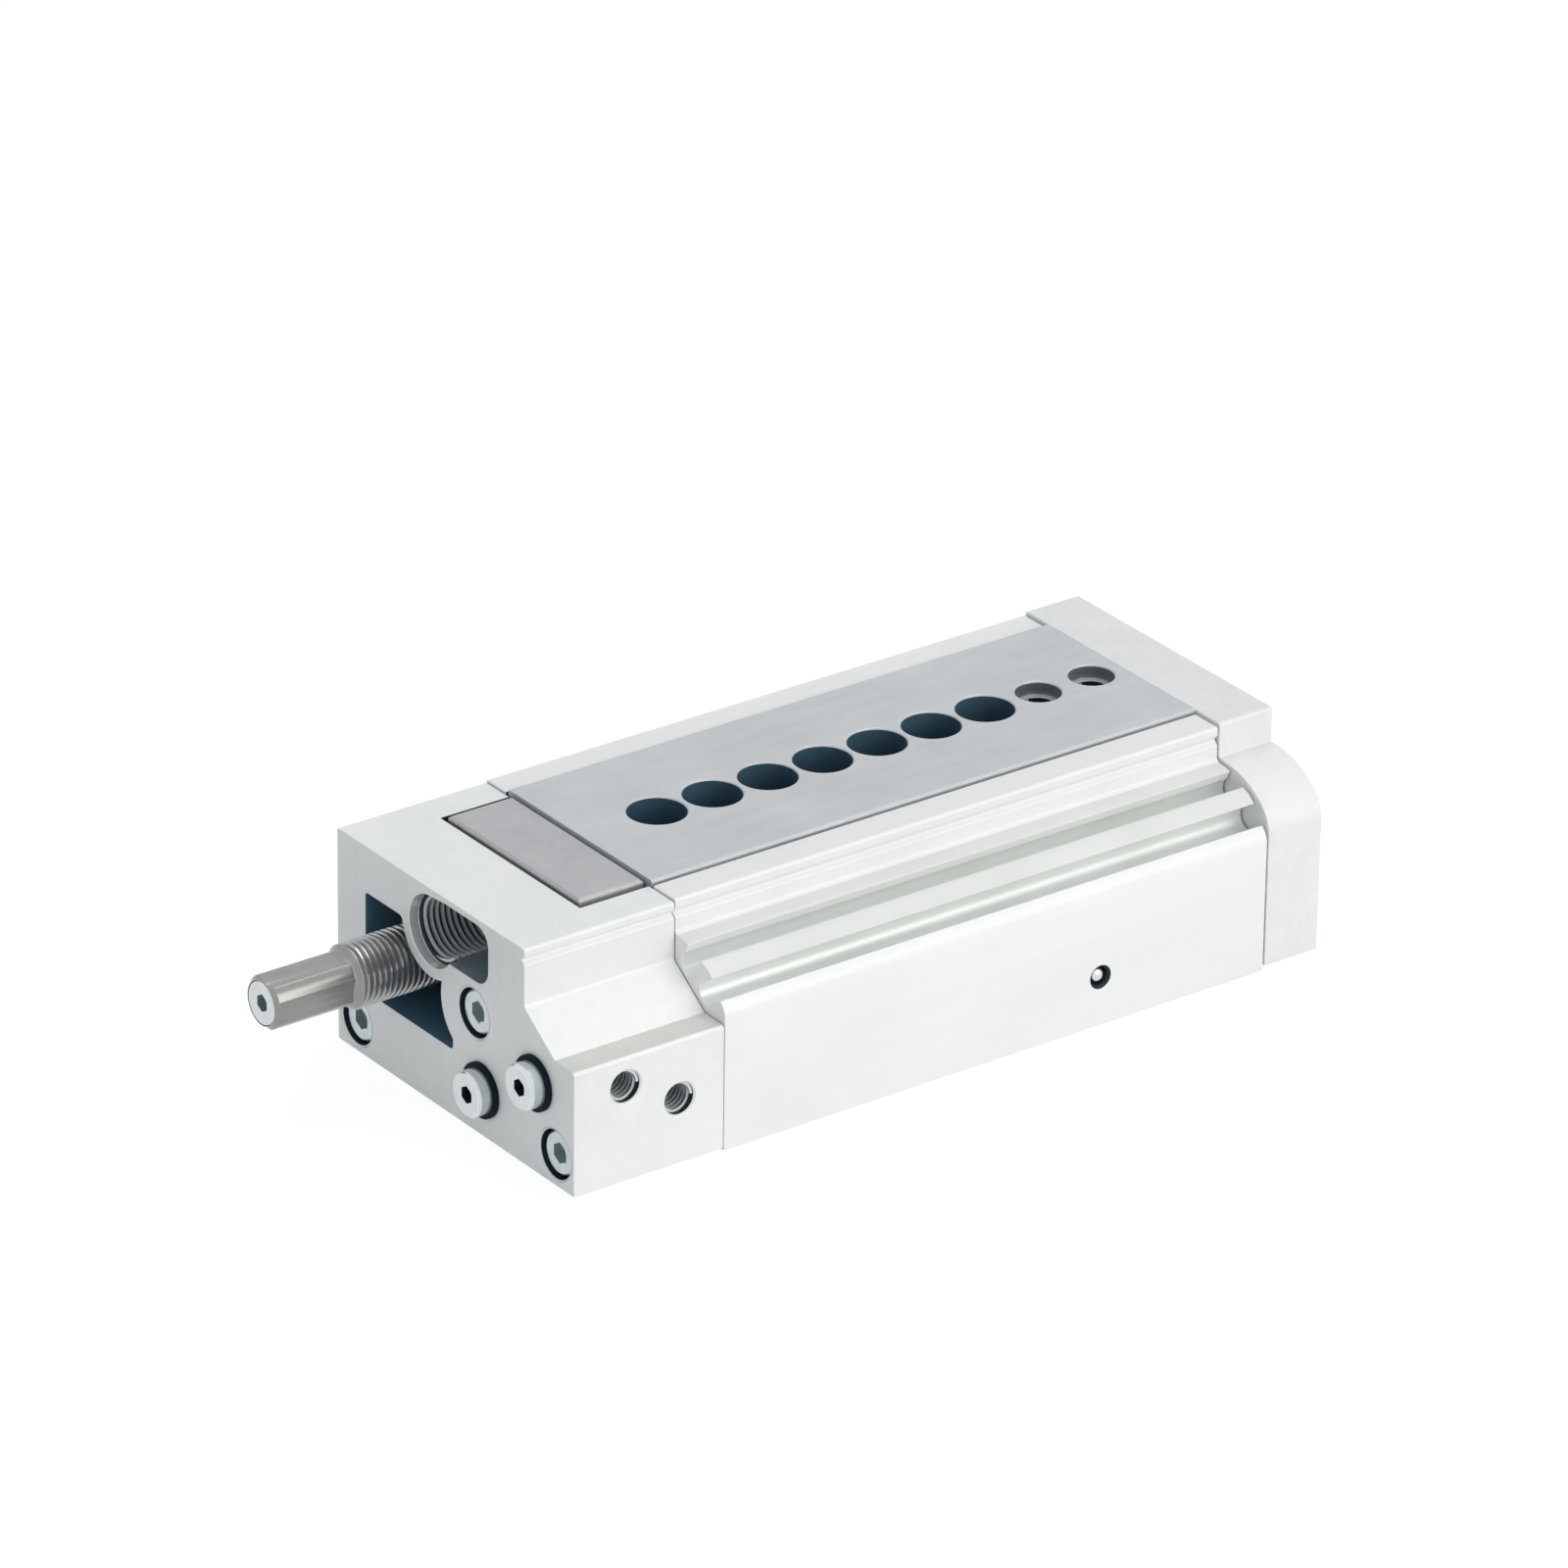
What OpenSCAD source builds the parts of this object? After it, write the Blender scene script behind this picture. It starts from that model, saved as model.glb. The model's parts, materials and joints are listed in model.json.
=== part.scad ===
// Pneumatic slide table: a ground steel slide runs on ball cages in an aluminium housing.
// Origin: centre of the housing's mounting underside. +X is the way the slide extends, +Z up.

/* [Housing] */
// Housing length
body_l = 99.2; // [96:0.4:112]
// Housing height
body_h = 35.4; // [35.2:0.1:35.8]
// Height of the stepped shoulder above the flat port side
shoulder_h = 13.6; // [13.4:0.1:13.8]
// Distance of the upper shoulder from the port side
shoulder_in = 12.4; // [12.2:0.1:12.6]
// Wall between the shoulder and the guide's track seat
shoulder_wall = 2.4; // [2.2:0.1:3]
// Wall between the other track seat and the far side
far_wall = 2; // [1.6:0.1:4]
// Depth of the groove along the shoulder
groove_d = 0.7; // [0.4:0.1:0.9]
// Diameter of the sensor slots
slot_d = 3.9; // [3.6:0.1:4]

/* [End cap] */
// End cap length
cap_l = 26.4; // [26:0.2:29]
// Step from the housing's underside up to the cap's
cap_lift = 0.5; // [0.3:0.05:0.7]
// Step from the housing's top down to the cap's
cap_drop = 0.4; // [0.2:0.05:0.5]
// Window width
window_w = 22.3; // [21.6:0.1:22.8]
// Stop thread diameter
stop_d = 10; // [9:0.5:10]
// Lead-in diameter of the stop thread
lead_d = 11.2; // [10.6:0.2:11.4]
// Lead-in depth
lead_l = 1.75; // [1:0.25:2.5]
// Side recess depth
recess_l = 9; // [6:0.5:10]
// Air port thread diameter
port_d = 5; // [4:0.5:5]
// Air port depth
port_l = 6; // [5:0.5:7]

/* [Slide] */
// Working stroke
stroke = 40; // [20:1:42]
// Slide width
slide_w = 36.2; // [35.8:0.1:36.6]
// Slide thickness
slide_t = 11.4; // [11:0.1:11.6]
// Rise of the slide above the housing
slide_rise = 0.6; // [0.4:0.1:0.8]
// Gap between slide and housing lips
lip_gap = 0.4; // [0.3:0.05:0.5]
// Pitch of the hole row
hole_pitch = 10; // [9.6:0.1:10]
// Number of large holes
large_count = 7; // [4:1:7]
// Large hole diameter
large_d = 9; // [6:0.5:9.2]
// Large hole depth
large_l = 8.5; // [5:0.5:9]
// Centring counterbore diameter
centring_d = 7; // [6:0.5:8]
// Centring counterbore depth
centring_l = 2.2; // [1.5:0.1:2.5]
// Load thread diameter
thread_d = 5; // [4:0.5:5.5]
// Load thread length below the counterbore
load_l = 6.2; // [4:0.2:6.8]

/* [Yoke plate] */
// Yoke plate thickness
yoke_t = 10; // [9:0.2:13]
// Seam between yoke plate and housing with the slide retracted
seam = 0.3; // [0.3:0.05:0.6]
// Rise of the yoke plate above the housing
yoke_rise = 0.5; // [0.3:0.1:0.7]
// Clearance under the yoke plate
yoke_lift = 0.7; // [0.5:0.1:1]
// Height of the rounded cheek
cheek_h = 8; // [7:0.2:8.4]

/* [Guide] */
// Ball diameter
ball_d = 3; // [2.6:0.1:3]
// Balls in each cage
ball_count = 12; // [8:1:12]
// Ball pitch
ball_pitch = 4.6; // [4.2:0.1:4.8]
// Track strip height
track_h = 8.4; // [7.4:0.2:8.6]
// Track strip thickness
track_t = 2.5; // [2:0.1:2.6]
// Cage thickness
cage_t = 0.7; // [0.5:0.05:0.7]
// Cage height
cage_h = 5.2; // [4.6:0.2:5.4]

/* [Cylinder] */
// Cylinder bore
bore_d = 12; // [11:0.5:12]
// Piston rod diameter
rod_d = 6; // [5:0.5:6]
// Rod bearing length
bearing_l = 26.6; // [18:0.2:27]
// Thickness of each piston half
piston_t = 6; // [5:0.5:6.5]
// Magnet thickness
magnet_t = 4; // [3:0.5:4.5]

/* [Stop and shock absorber] */
// Stop block length along the stroke
block_t = 11.5; // [10.4:0.1:11.6]
// Stop block width
block_w = 33.2; // [32.6:0.1:33.4]
// Width of the block's leg
leg_w = 13.3; // [12.6:0.1:13.4]
// Shock absorber thread diameter
absorber_d = 10; // [9:0.5:10]
// Shock absorber thread pitch
absorber_pitch = 1; // [0.75:0.25:1.5]
// Reach of the shock absorber behind the end cap
absorber_out = 23.1; // [20:0.1:26]
// Shock absorber body length
absorber_l = 58; // [52:1:62]
// Spanner head length
head_l = 14; // [11:0.5:16]
// Spanner head diameter
head_d = 8.3; // [7.9:0.1:8.4]
// Width across the spanner flats
flats = 7.3; // [7.2:0.1:7.5]
// Buffer travel
buffer = 4.2; // [3:0.2:4.6]
// Plunger diameter
tip_d = 2.8; // [2.4:0.2:3]

/* [Fasteners] */
// Screw thread diameter
screw_d = 4; // [3:0.5:4]
// Screw head diameter
head_screw_d = 7; // [6:0.5:7]
// Counterbore diameter of the cap screws
cap_bore_d = 8.2; // [7.6:0.1:8.4]
// Plug head diameter
plug_d = 7.1; // [6.6:0.1:7.4]
// Plug head height
plug_h = 2.3; // [1.5:0.1:3]
// Plug seal diameter
plug_seal_d = 8.6; // [8:0.1:8.8]
// Plug seal thickness
plug_seal_t = 0.6; // [0.4:0.1:0.8]

/* [Hidden] */
$fn = 48;
eps = 0.5;
skin = 0.05;
edge = 0.3;
screw_fit = 0.03;
screw_clear = 0.2;
head_clear = 0.3;
press_fit = 0.02;
rod_fit = 0.05;
absorber_fit = 0.05;
tip_fit = 0.1;
ball_clear = 0.1;
run_gap = 0.4;

rear_x = -body_l / 2 - cap_l;
seam_x = -body_l / 2;
front_x = body_l / 2;
yoke_x = front_x + seam;
face_x = yoke_x + yoke_t;

// heights, all from the underside
side_h = body_h - shoulder_h;
cap_h = body_h - cap_drop;
slide_top = body_h + slide_rise;
slide_z = slide_top - slide_t;
channel_z = slide_z - run_gap;
block_rise = 0.2;
block_top = body_h + block_rise;
yoke_top = body_h + yoke_rise;
groove_drop = 2.3;
groove_z = body_h - groove_drop;

// guide cross-section, measured out from the guide's centre line, and the width that it needs
flank_in = 0.3;
track_gap = 1.3;
half = slide_w / 2;
flank = half - flank_in;
lip = half + lip_gap;
track_in = flank + track_gap;
track_out = track_in + track_t;
body_w = shoulder_in + shoulder_wall + 2 * track_out + far_wall;
port_y = -body_w / 2;
guide_y = port_y + shoulder_in + shoulder_wall + track_out;
ball_y = (flank + track_in) / 2;
ball_up = 5.2;
ball_z = slide_z + ball_up;
track_z = ball_z - track_h / 2;
cage_end = 0.7;
cage_l = ball_count * ball_pitch + 2 * cage_end;
slide_in = 0.1;
slide_x = seam_x + slide_in;
cage_x = (slide_x + front_x) / 2;
slide_ease = 0.5;
slide_step = 1.5;

// cylinder
bore_in = 16.3;
bore_y = port_y + bore_in;
bore_z = 11.5;
clip_w = 1.1;
clip_in = 2.2;
clip_deep = 0.6;
clip_gap = 3;
clip_x = front_x - clip_in;
bearing_x = clip_x - bearing_l;
rod_seal_l = 3;
rod_seal_w = 1.6;
ring_x = bearing_x + 4;
ring_l = 2.2;
ring_w = 1.3;
ring_seat_w = 1.4;
ring_seat_l = 1;
ring_gap = 0.1;
spigot_r = rod_d / 2 - 1;
piston_x = seam_x + 1.5;
piston_l = 2 * piston_t + magnet_t;
piston_gap = 0.3;
piston_groove_w = 2;
rod_seat = 2;
rod_front = yoke_x + rod_seat;
rod_thread_l = 11;
rod_screw_l = 9;

// stop block and shock absorber
block_gap = 0.3;
block_ledge = 0.6;
block_drop = 1.4;
bridge_w = 28;
block_x1 = slide_x - block_gap;
block_x0 = block_x1 - block_t;
block_z = slide_z + block_ledge;
absorber_side = 9.1;
leg_wall = 1.3;
absorber_y = guide_y + absorber_side;
absorber_z = channel_z - absorber_d / 2;
leg_z = absorber_z - absorber_d / 2 - leg_wall;
absorber_x = rear_x - absorber_out;
absorber_end = absorber_x + absorber_l;
tip_rest = 0.4;
tip_out = buffer + tip_rest;
tip_l = 12;
tip_r = tip_d / 2;
stop_x = absorber_end + tip_out + stroke + run_gap;
end_chamfer = 0.6;
neck_l = 1;
neck_in = 0.1;
socket_l = 3;
socket_wall = 0.65;
thread_depth = 0.54;
crest = 0.06;

// end cap
pocket_gap = 0.5;
pocket_side = 1;
pocket_x = block_x0 - pocket_gap;
pocket_half = block_w / 2 + pocket_side;
window_side = 7.2;
window_y1 = absorber_y + window_side;
window_y0 = window_y1 - window_w;
window_low = 1.6;
window_z0 = leg_z - window_low;
window_up = 2.9;
window_z1 = slide_z + window_up;
stop_side = 0.5;
stop_up = 3.5;
stop_y = guide_y - stop_side;
stop_z = slide_z + stop_up;
stop_wall = 2.4;
boss_wall = 4.15;
recess_side = 14.9;
recess_w = 11.3;
recess_low = 0.2;
recess_y0 = guide_y - recess_side;
recess_y1 = recess_y0 + recess_w;
recess_z0 = slide_z + recess_low;
recess_z1 = cap_h - 1;
recess_r = 2.9;
cap_step = 1.8;
cap_ease = 0.4;
cap_ledge = 4.8;
cap_ledge_up = 0.5;
cap_rise = 3.8;
channel_side = 7;
channel_y0 = absorber_y - channel_side;
channel_y1 = window_y1 - ring_gap;
channel_leg_z = leg_z - run_gap;
cap_head_in = 0.7;
cap_thread_l = 10;
cap_screw_tip = 9;
screw_in = 4.7;
screw_low = 5.4;
screw_mid = 25.2;
cap_screw_pos = [[port_y + screw_mid, absorber_z + 0.2], [port_y + screw_in, screw_low], [-port_y - screw_in - 0.1, screw_low]];
head_screw_h = screw_d;
plug_low_in = 22.9;
plug_low_z = 8;
plug_high_in = 9.7;
plug_high_z = 14.9;
plug_pos = [[port_y + plug_low_in, plug_low_z], [port_y + plug_high_in, plug_high_z]];
plug_hole_l = 6;
plug_l = 5;
plug_gap = 0.2;
port_rear_in = 9.1;
port_rear_z = 15.6;
port_front_in = 18.6;
port_front_z = 10.8;
port_pos = [[rear_x + port_rear_in, port_rear_z], [rear_x + port_front_in, port_front_z]];
duct_r = 1.1;
duct_l = 12;
duct_in = 9.7;
duct_ball_d = 3;
duct_ball_x = 18.8;
duct_seat_l = 3;

// shoulder with its two sensor slots, measured in and up from the flat side's top edge
slot_upper_back = 4.74;
slot_upper_up = 7;
slot_upper_turn = -65.2;
slot_lower_in = 2.15;
slot_lower_up = 3.38;
slot_lower_turn = -33;
slot_deep = 2.75;
slot_neck = 2.2;
slot_lip = 0.2;
mouth = 1.68;
side_ease_in = 0.45;
side_ease_up = 1.1;
ridge_in = 4.7;
ridge_up = 5.85;
brow_in = 0.5;
brow_up = 8.1;
brow_rise = 0.4;

// slide holes, counted back from the front
hole_front = 5.6;
hole_x0 = yoke_x - hole_front;
large_x = [for (k = [2 : 1 + large_count]) hole_x0 - k * hole_pitch];
small_x = [hole_x0, hole_x0 - hole_pitch];

// screws along the slide
yoke_screw_side = 11;
block_screw_side = 10;
long_up = 5.7;
yoke_screw_l = 10;
block_screw_l = 8;
slide_tap_l = 12;
block_tap_l = 10;
yoke_screw_y = [guide_y - yoke_screw_side, guide_y + yoke_screw_side];
block_screw_y = [guide_y - block_screw_side, guide_y + block_screw_side];
long_screw_z = slide_z + long_up;
seat_h = head_screw_h + head_clear;
cheek_z = side_h + 0.5;
cheek_steps = 16;
yoke_hole_y = 24;
yoke_hole_z = [6, 18];

// mounting holes in the underside
base_x = 25;
base_y = 25;
base_l = 8;

// helpers: a box between two corners, and rods along each axis
module box(a, b) { translate(a) cube(b - a); }
module xrod(x0, x1, y, z, r) { translate([x0, y, z]) rotate([0, 90, 0]) cylinder(h = x1 - x0, r = r); }
module yrod(y0, y1, x, z, r) { translate([x, y0, z]) rotate([-90, 0, 0]) cylinder(h = y1 - y0, r = r); }
module zrod(z0, z1, x, y, r) { translate([x, y, z0]) cylinder(h = z1 - z0, r = r); }
module xcone(x0, x1, y, z, r0, r1) {
  xturn(y, z) polygon([[0, x0], [r0, x0], [r1, x1], [0, x1]]);
}
module xturn(y, z) { translate([0, y, z]) rotate([0, 90, 0]) rotate_extrude() children(); }
module xring(x0, x1, y, z, ri, ro) {
  difference() {
    xrod(x0, x1, y, z, ro);
    xrod(x0 - eps, x1 + eps, y, z, ri);
  }
}
module profile(x0, x1, pts) { translate([x0, 0, 0]) rotate([90, 0, 90]) linear_extrude(height = x1 - x0) polygon(pts); }
module xhex(x0, x1, y, z, af) { translate([x0, y, z]) rotate([0, 90, 0]) cylinder(h = x1 - x0, r = af / sqrt(3), $fn = 6); }
// side = 1 for the guide's left side, -1 for its port side
module guide_side(side) { translate([0, guide_y, 0]) mirror([0, side > 0 ? 0 : 1, 0]) children(); }
// x is the head's bearing face; the head points to +X when dir = 1 and to -X when dir = -1
module socket_screw(x, y, z, dir, l) {
  h = head_screw_h;
  socket = 0.45 * h;
  translate([x, y, z]) rotate([0, dir > 0 ? 0 : 180, 0]) difference() {
    union() {
      xrod(0, h, 0, 0, head_screw_d / 2);
      xrod(-l, eps, 0, 0, screw_d / 2 - screw_fit);
    }
    xhex(socket, h + eps, 0, 0, 0.75 * screw_d);
  }
}

// ---- housing ----
function at(p) = [port_y + p[0], p[1]];
// a point d into a slot and s to the left of that way
function in_slot(p, a, d, s) = at([p[0] + d * cos(a) - s * sin(a), p[1] + d * sin(a) + s * cos(a)]);
slot_upper = [shoulder_in - slot_upper_back, side_h + slot_upper_up];
slot_lower = [slot_lower_in, side_h + slot_lower_up];
housing_pts = [
  at([0, 0]), at([0, side_h]), at([side_ease_in, side_h + side_ease_up]),
  in_slot(slot_lower, slot_lower_turn, 0, -mouth), in_slot(slot_lower, slot_lower_turn, slot_neck, -mouth),
  in_slot(slot_lower, slot_lower_turn, slot_deep, 0),
  in_slot(slot_lower, slot_lower_turn, slot_neck, mouth), in_slot(slot_lower, slot_lower_turn, slot_lip, mouth),
  at([ridge_in, side_h + ridge_up]),
  in_slot(slot_upper, slot_upper_turn, 0, -mouth), in_slot(slot_upper, slot_upper_turn, slot_neck, -mouth),
  in_slot(slot_upper, slot_upper_turn, slot_deep, 0),
  in_slot(slot_upper, slot_upper_turn, slot_neck, mouth), in_slot(slot_upper, slot_upper_turn, 0, mouth),
  at([shoulder_in - brow_in, side_h + brow_up]), at([shoulder_in, side_h + brow_up + brow_rise]),
  at([shoulder_in, groove_z - groove_d]), at([shoulder_in + groove_d, groove_z]),
  at([shoulder_in, groove_z + groove_d + slot_lip]),
  at([shoulder_in, body_h - edge]), at([shoulder_in + edge, body_h]),
  [-port_y - edge, body_h], [-port_y, body_h - edge], [-port_y, edge], [-port_y - edge, 0]
];
module sensor_slot(p, a) {
  c = in_slot(p, a, slot_deep, 0);
  xrod(seam_x - eps, front_x + eps, c[0], c[1], slot_d / 2);
}
module housing() color([0.82, 0.83, 0.84]) difference() {
  profile(seam_x, front_x, housing_pts);
  sensor_slot(slot_upper, slot_upper_turn);
  sensor_slot(slot_lower, slot_lower_turn);
  box([seam_x - eps, guide_y - lip, channel_z], [front_x + eps, guide_y + lip, body_h + eps]);
  box([seam_x - eps, guide_y - track_out, track_z], [front_x + eps, guide_y + track_out, track_z + track_h]);
  box([seam_x - eps, channel_y0, channel_leg_z], [stop_x, channel_y1, channel_z + eps]);
  xrod(seam_x - eps, front_x + eps, bore_y, bore_z, bore_d / 2);
  xrod(clip_x, clip_x + clip_w, bore_y, bore_z, bore_d / 2 + clip_deep);
  xrod(seam_x - eps, seam_x + ring_seat_l, bore_y, bore_z, bore_d / 2 + ring_seat_w);
  for (p = cap_screw_pos) xrod(seam_x - eps, seam_x + cap_thread_l, p[0], p[1], screw_d / 2);
  xrod(seam_x - eps, duct_ball_x + duct_r, plug_pos[0][0], plug_pos[0][1], duct_r);
  yrod(port_y - eps, plug_pos[0][0], duct_ball_x, plug_low_z, duct_r);
  yrod(port_y - eps, port_y + duct_seat_l, duct_ball_x, plug_low_z, duct_ball_d / 2 + press_fit);
  for (x = [-base_x, base_x]) {
    for (y = [-base_y, base_y]) zrod(-eps, base_l, x, y, thread_d / 2);
    zrod(-eps, centring_l, x, 0, centring_d / 2);
  }
}

// ---- end cap ----
cap_pts = [
  at([0, cap_lift]), at([0, side_h - cap_step]), at([cap_ease, side_h - cap_step + cap_ease]),
  at([cap_ledge, side_h - cap_step + cap_ledge_up]), at([shoulder_in - edge, side_h + cap_rise]),
  at([shoulder_in, side_h + cap_rise + cap_ledge_up]),
  at([shoulder_in, groove_z - groove_d]), at([shoulder_in + groove_d, groove_z]), at([shoulder_in, groove_z + groove_d]),
  at([shoulder_in, cap_h - edge]), at([shoulder_in + edge, cap_h]),
  [-port_y - edge, cap_h], [-port_y, cap_h - edge], [-port_y, cap_lift + edge], [-port_y - edge, cap_lift]
];
// the window leaves a ring of metal round the stop thread and round the middle screw
module window_cut() difference() {
  box([rear_x - eps, window_y0, window_z0], [pocket_x + eps, window_y1, window_z1]);
  xrod(rear_x - 2 * eps, pocket_x + 2 * eps, stop_y, stop_z, stop_d / 2 + stop_wall);
  xrod(rear_x - 2 * eps, pocket_x + 2 * eps, cap_screw_pos[0][0], cap_screw_pos[0][1], cap_bore_d / 2 + boss_wall);
}
module recess_cut() {
  x0 = rear_x - eps;
  x1 = rear_x + recess_l;
  box([x0, recess_y0 + recess_r, recess_z0], [x1, recess_y1, recess_z1]);
  box([x0, recess_y0, recess_z0 + recess_r], [x1, recess_y1, recess_z1 - recess_r]);
  for (z = [recess_z0 + recess_r, recess_z1 - recess_r]) xrod(x0, x1, recess_y0 + recess_r, z, recess_r);
}
module end_cap() color([0.8, 0.81, 0.82]) difference() {
  profile(rear_x, seam_x, cap_pts);
  box([pocket_x, guide_y - pocket_half, channel_z], [seam_x + eps, guide_y + pocket_half, cap_h + eps]);
  box([pocket_x, channel_y0, window_z0], [seam_x + eps, window_y1, channel_z + eps]);
  window_cut();
  xrod(rear_x - eps, pocket_x + skin, stop_y, stop_z, stop_d / 2);
  xrod(rear_x - eps, rear_x + lead_l, stop_y, stop_z, lead_d / 2);
  recess_cut();
  for (p = cap_screw_pos) {
    xrod(rear_x - eps, rear_x + cap_head_in + head_screw_h, p[0], p[1], cap_bore_d / 2);
    xrod(rear_x, seam_x + eps, p[0], p[1], screw_d / 2 + screw_clear);
  }
  for (p = plug_pos) xrod(rear_x - eps, rear_x + plug_hole_l, p[0], p[1], port_d / 2);
  xrod(rear_x, seam_x + eps, plug_pos[0][0], plug_pos[0][1], duct_r);
  xrod(rear_x, rear_x + duct_l, plug_pos[1][0], plug_pos[1][1], duct_r);
  for (p = port_pos) {
    yrod(port_y - eps, port_y + port_l, p[0], p[1], port_d / 2);
    yrod(port_y, port_y + duct_in, p[0], p[1], duct_r);
  }
  xrod(port_pos[1][0], seam_x + eps, port_y + duct_in, port_pos[1][1], duct_r);
}
module cap_screws() color([0.62, 0.67, 0.7]) {
  bearing = rear_x + cap_head_in + head_screw_h;
  for (p = cap_screw_pos) socket_screw(bearing, p[0], p[1], -1, seam_x + cap_screw_tip - bearing);
}
module channel_plugs() color([0.7, 0.74, 0.76]) {
  seat = rear_x - plug_seal_t;
  for (p = plug_pos) difference() {
    union() {
      xcone(seat - plug_h, seat - plug_h + run_gap, p[0], p[1], plug_d / 2 - run_gap, plug_d / 2);
      xrod(seat - plug_h + run_gap, seat, p[0], p[1], plug_d / 2);
      xrod(seat - eps / 5, rear_x + plug_l, p[0], p[1], port_d / 2 - screw_fit);
    }
    xhex(seat - plug_h - eps, seat, p[0], p[1], port_d / 2);
  }
}
module plug_seals() color([0.06, 0.07, 0.08])
  for (p = plug_pos) xring(rear_x - plug_seal_t, rear_x, p[0], p[1], port_d / 2 + ring_gap, plug_seal_d / 2);
module duct_ball() color([0.7, 0.72, 0.74])
  translate([duct_ball_x, port_y + duct_ball_d / 2 + plug_gap, plug_low_z]) sphere(d = duct_ball_d);

// ---- guide ----
module track() difference() {
  box([seam_x, track_in, track_z], [front_x, track_out, track_z + track_h]);
  xrod(seam_x - eps, front_x + eps, ball_y, ball_z, ball_d / 2 + ball_clear);
}
function ball_x(k) = cage_x + (k - (ball_count - 1) / 2) * ball_pitch;
module cage() difference() {
  box([cage_x - cage_l / 2, ball_y - cage_t / 2, ball_z - cage_h / 2], [cage_x + cage_l / 2, ball_y + cage_t / 2, ball_z + cage_h / 2]);
  for (k = [0 : ball_count - 1]) yrod(ball_y - cage_t, ball_y + cage_t, ball_x(k), ball_z, (ball_d + ball_clear) / 2);
}
module balls() for (k = [0 : ball_count - 1]) translate([ball_x(k), ball_y, ball_z]) sphere(d = ball_d);
module track_right() color([0.5, 0.52, 0.54]) guide_side(-1) track();
module track_left() color([0.5, 0.52, 0.54]) guide_side(1) track();
module cage_right() color([0.78, 0.68, 0.4]) guide_side(-1) cage();
module cage_left() color([0.78, 0.68, 0.4]) guide_side(1) cage();
module balls_right() color([0.75, 0.76, 0.78]) guide_side(-1) balls();
module balls_left() color([0.75, 0.76, 0.78]) guide_side(1) balls();

// ---- rod bearing and its seals ----
module rod_bearing() color([0.72, 0.6, 0.3]) difference() {
  xrod(bearing_x, clip_x, bore_y, bore_z, bore_d / 2 - press_fit);
  xrod(bearing_x - eps, clip_x + eps, bore_y, bore_z, rod_d / 2 + rod_fit);
  xrod(clip_x - rod_seal_l, clip_x + eps, bore_y, bore_z, rod_d / 2 + rod_seal_w);
  xring(ring_x, ring_x + ring_l, bore_y, bore_z, bore_d / 2 - ring_w, bore_d / 2 + eps);
}
module bearing_o_ring() color([0.08, 0.08, 0.09])
  xring(ring_x + 2 * ring_gap, ring_x + ring_l - 2 * ring_gap, bore_y, bore_z, bore_d / 2 - ring_w + ring_gap, bore_d / 2 - ring_gap);
module rod_seal() color([0.1, 0.1, 0.11])
  xring(clip_x - rod_seal_l + 2 * ring_gap, clip_x - 3 * ring_gap, bore_y, bore_z, rod_d / 2 + 2 * ring_gap, rod_d / 2 + rod_seal_w - ring_gap);
module bearing_clip() color([0.35, 0.36, 0.38]) difference() {
  xring(clip_x, clip_x + clip_w - ring_gap, bore_y, bore_z, bore_d / 2 - 2 * clip_deep, bore_d / 2 + clip_deep - ring_gap / 2);
  box([clip_x - eps, bore_y - clip_gap / 2, bore_z - bore_d], [clip_x + clip_w + eps, bore_y + clip_gap / 2, bore_z]);
}
module bore_o_ring() color([0.08, 0.08, 0.09])
  xring(seam_x + ring_gap, seam_x + ring_seat_l - ring_gap, bore_y, bore_z, bore_d / 2 + 2 * ring_gap, bore_d / 2 + ring_seat_w - ring_gap);

// ---- slide ----
// outline of the left half, from the underside round to the top
slide_side = [
  [flank - slide_ease, slide_z], [flank, slide_z + slide_ease], [flank, slide_top - slide_step - run_gap],
  [half, slide_top - slide_step], [half, slide_top - edge], [half - edge, slide_top]
];
slide_pts = concat([for (p = slide_side) [guide_y + p[0], p[1]]],
  [for (k = [len(slide_side) - 1 : -1 : 0]) [guide_y - slide_side[k][0], slide_side[k][1]]]);
module slide() color([0.6, 0.62, 0.66]) difference() {
  profile(slide_x, yoke_x, slide_pts);
  for (s = [-1, 1]) xrod(slide_x - eps, yoke_x + eps, guide_y + s * ball_y, ball_z, ball_d / 2 + ball_clear);
  for (x = large_x) zrod(slide_top - large_l, slide_top + eps, x, guide_y, large_d / 2);
  for (x = small_x) {
    zrod(slide_top - centring_l, slide_top + eps, x, guide_y, centring_d / 2);
    zrod(slide_top - centring_l - load_l, slide_top, x, guide_y, thread_d / 2);
  }
  for (y = yoke_screw_y) xrod(yoke_x - slide_tap_l, yoke_x + eps, y, long_screw_z, screw_d / 2);
  for (y = block_screw_y) xrod(slide_x - eps, slide_x + block_tap_l, y, long_screw_z, screw_d / 2);
}

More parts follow.
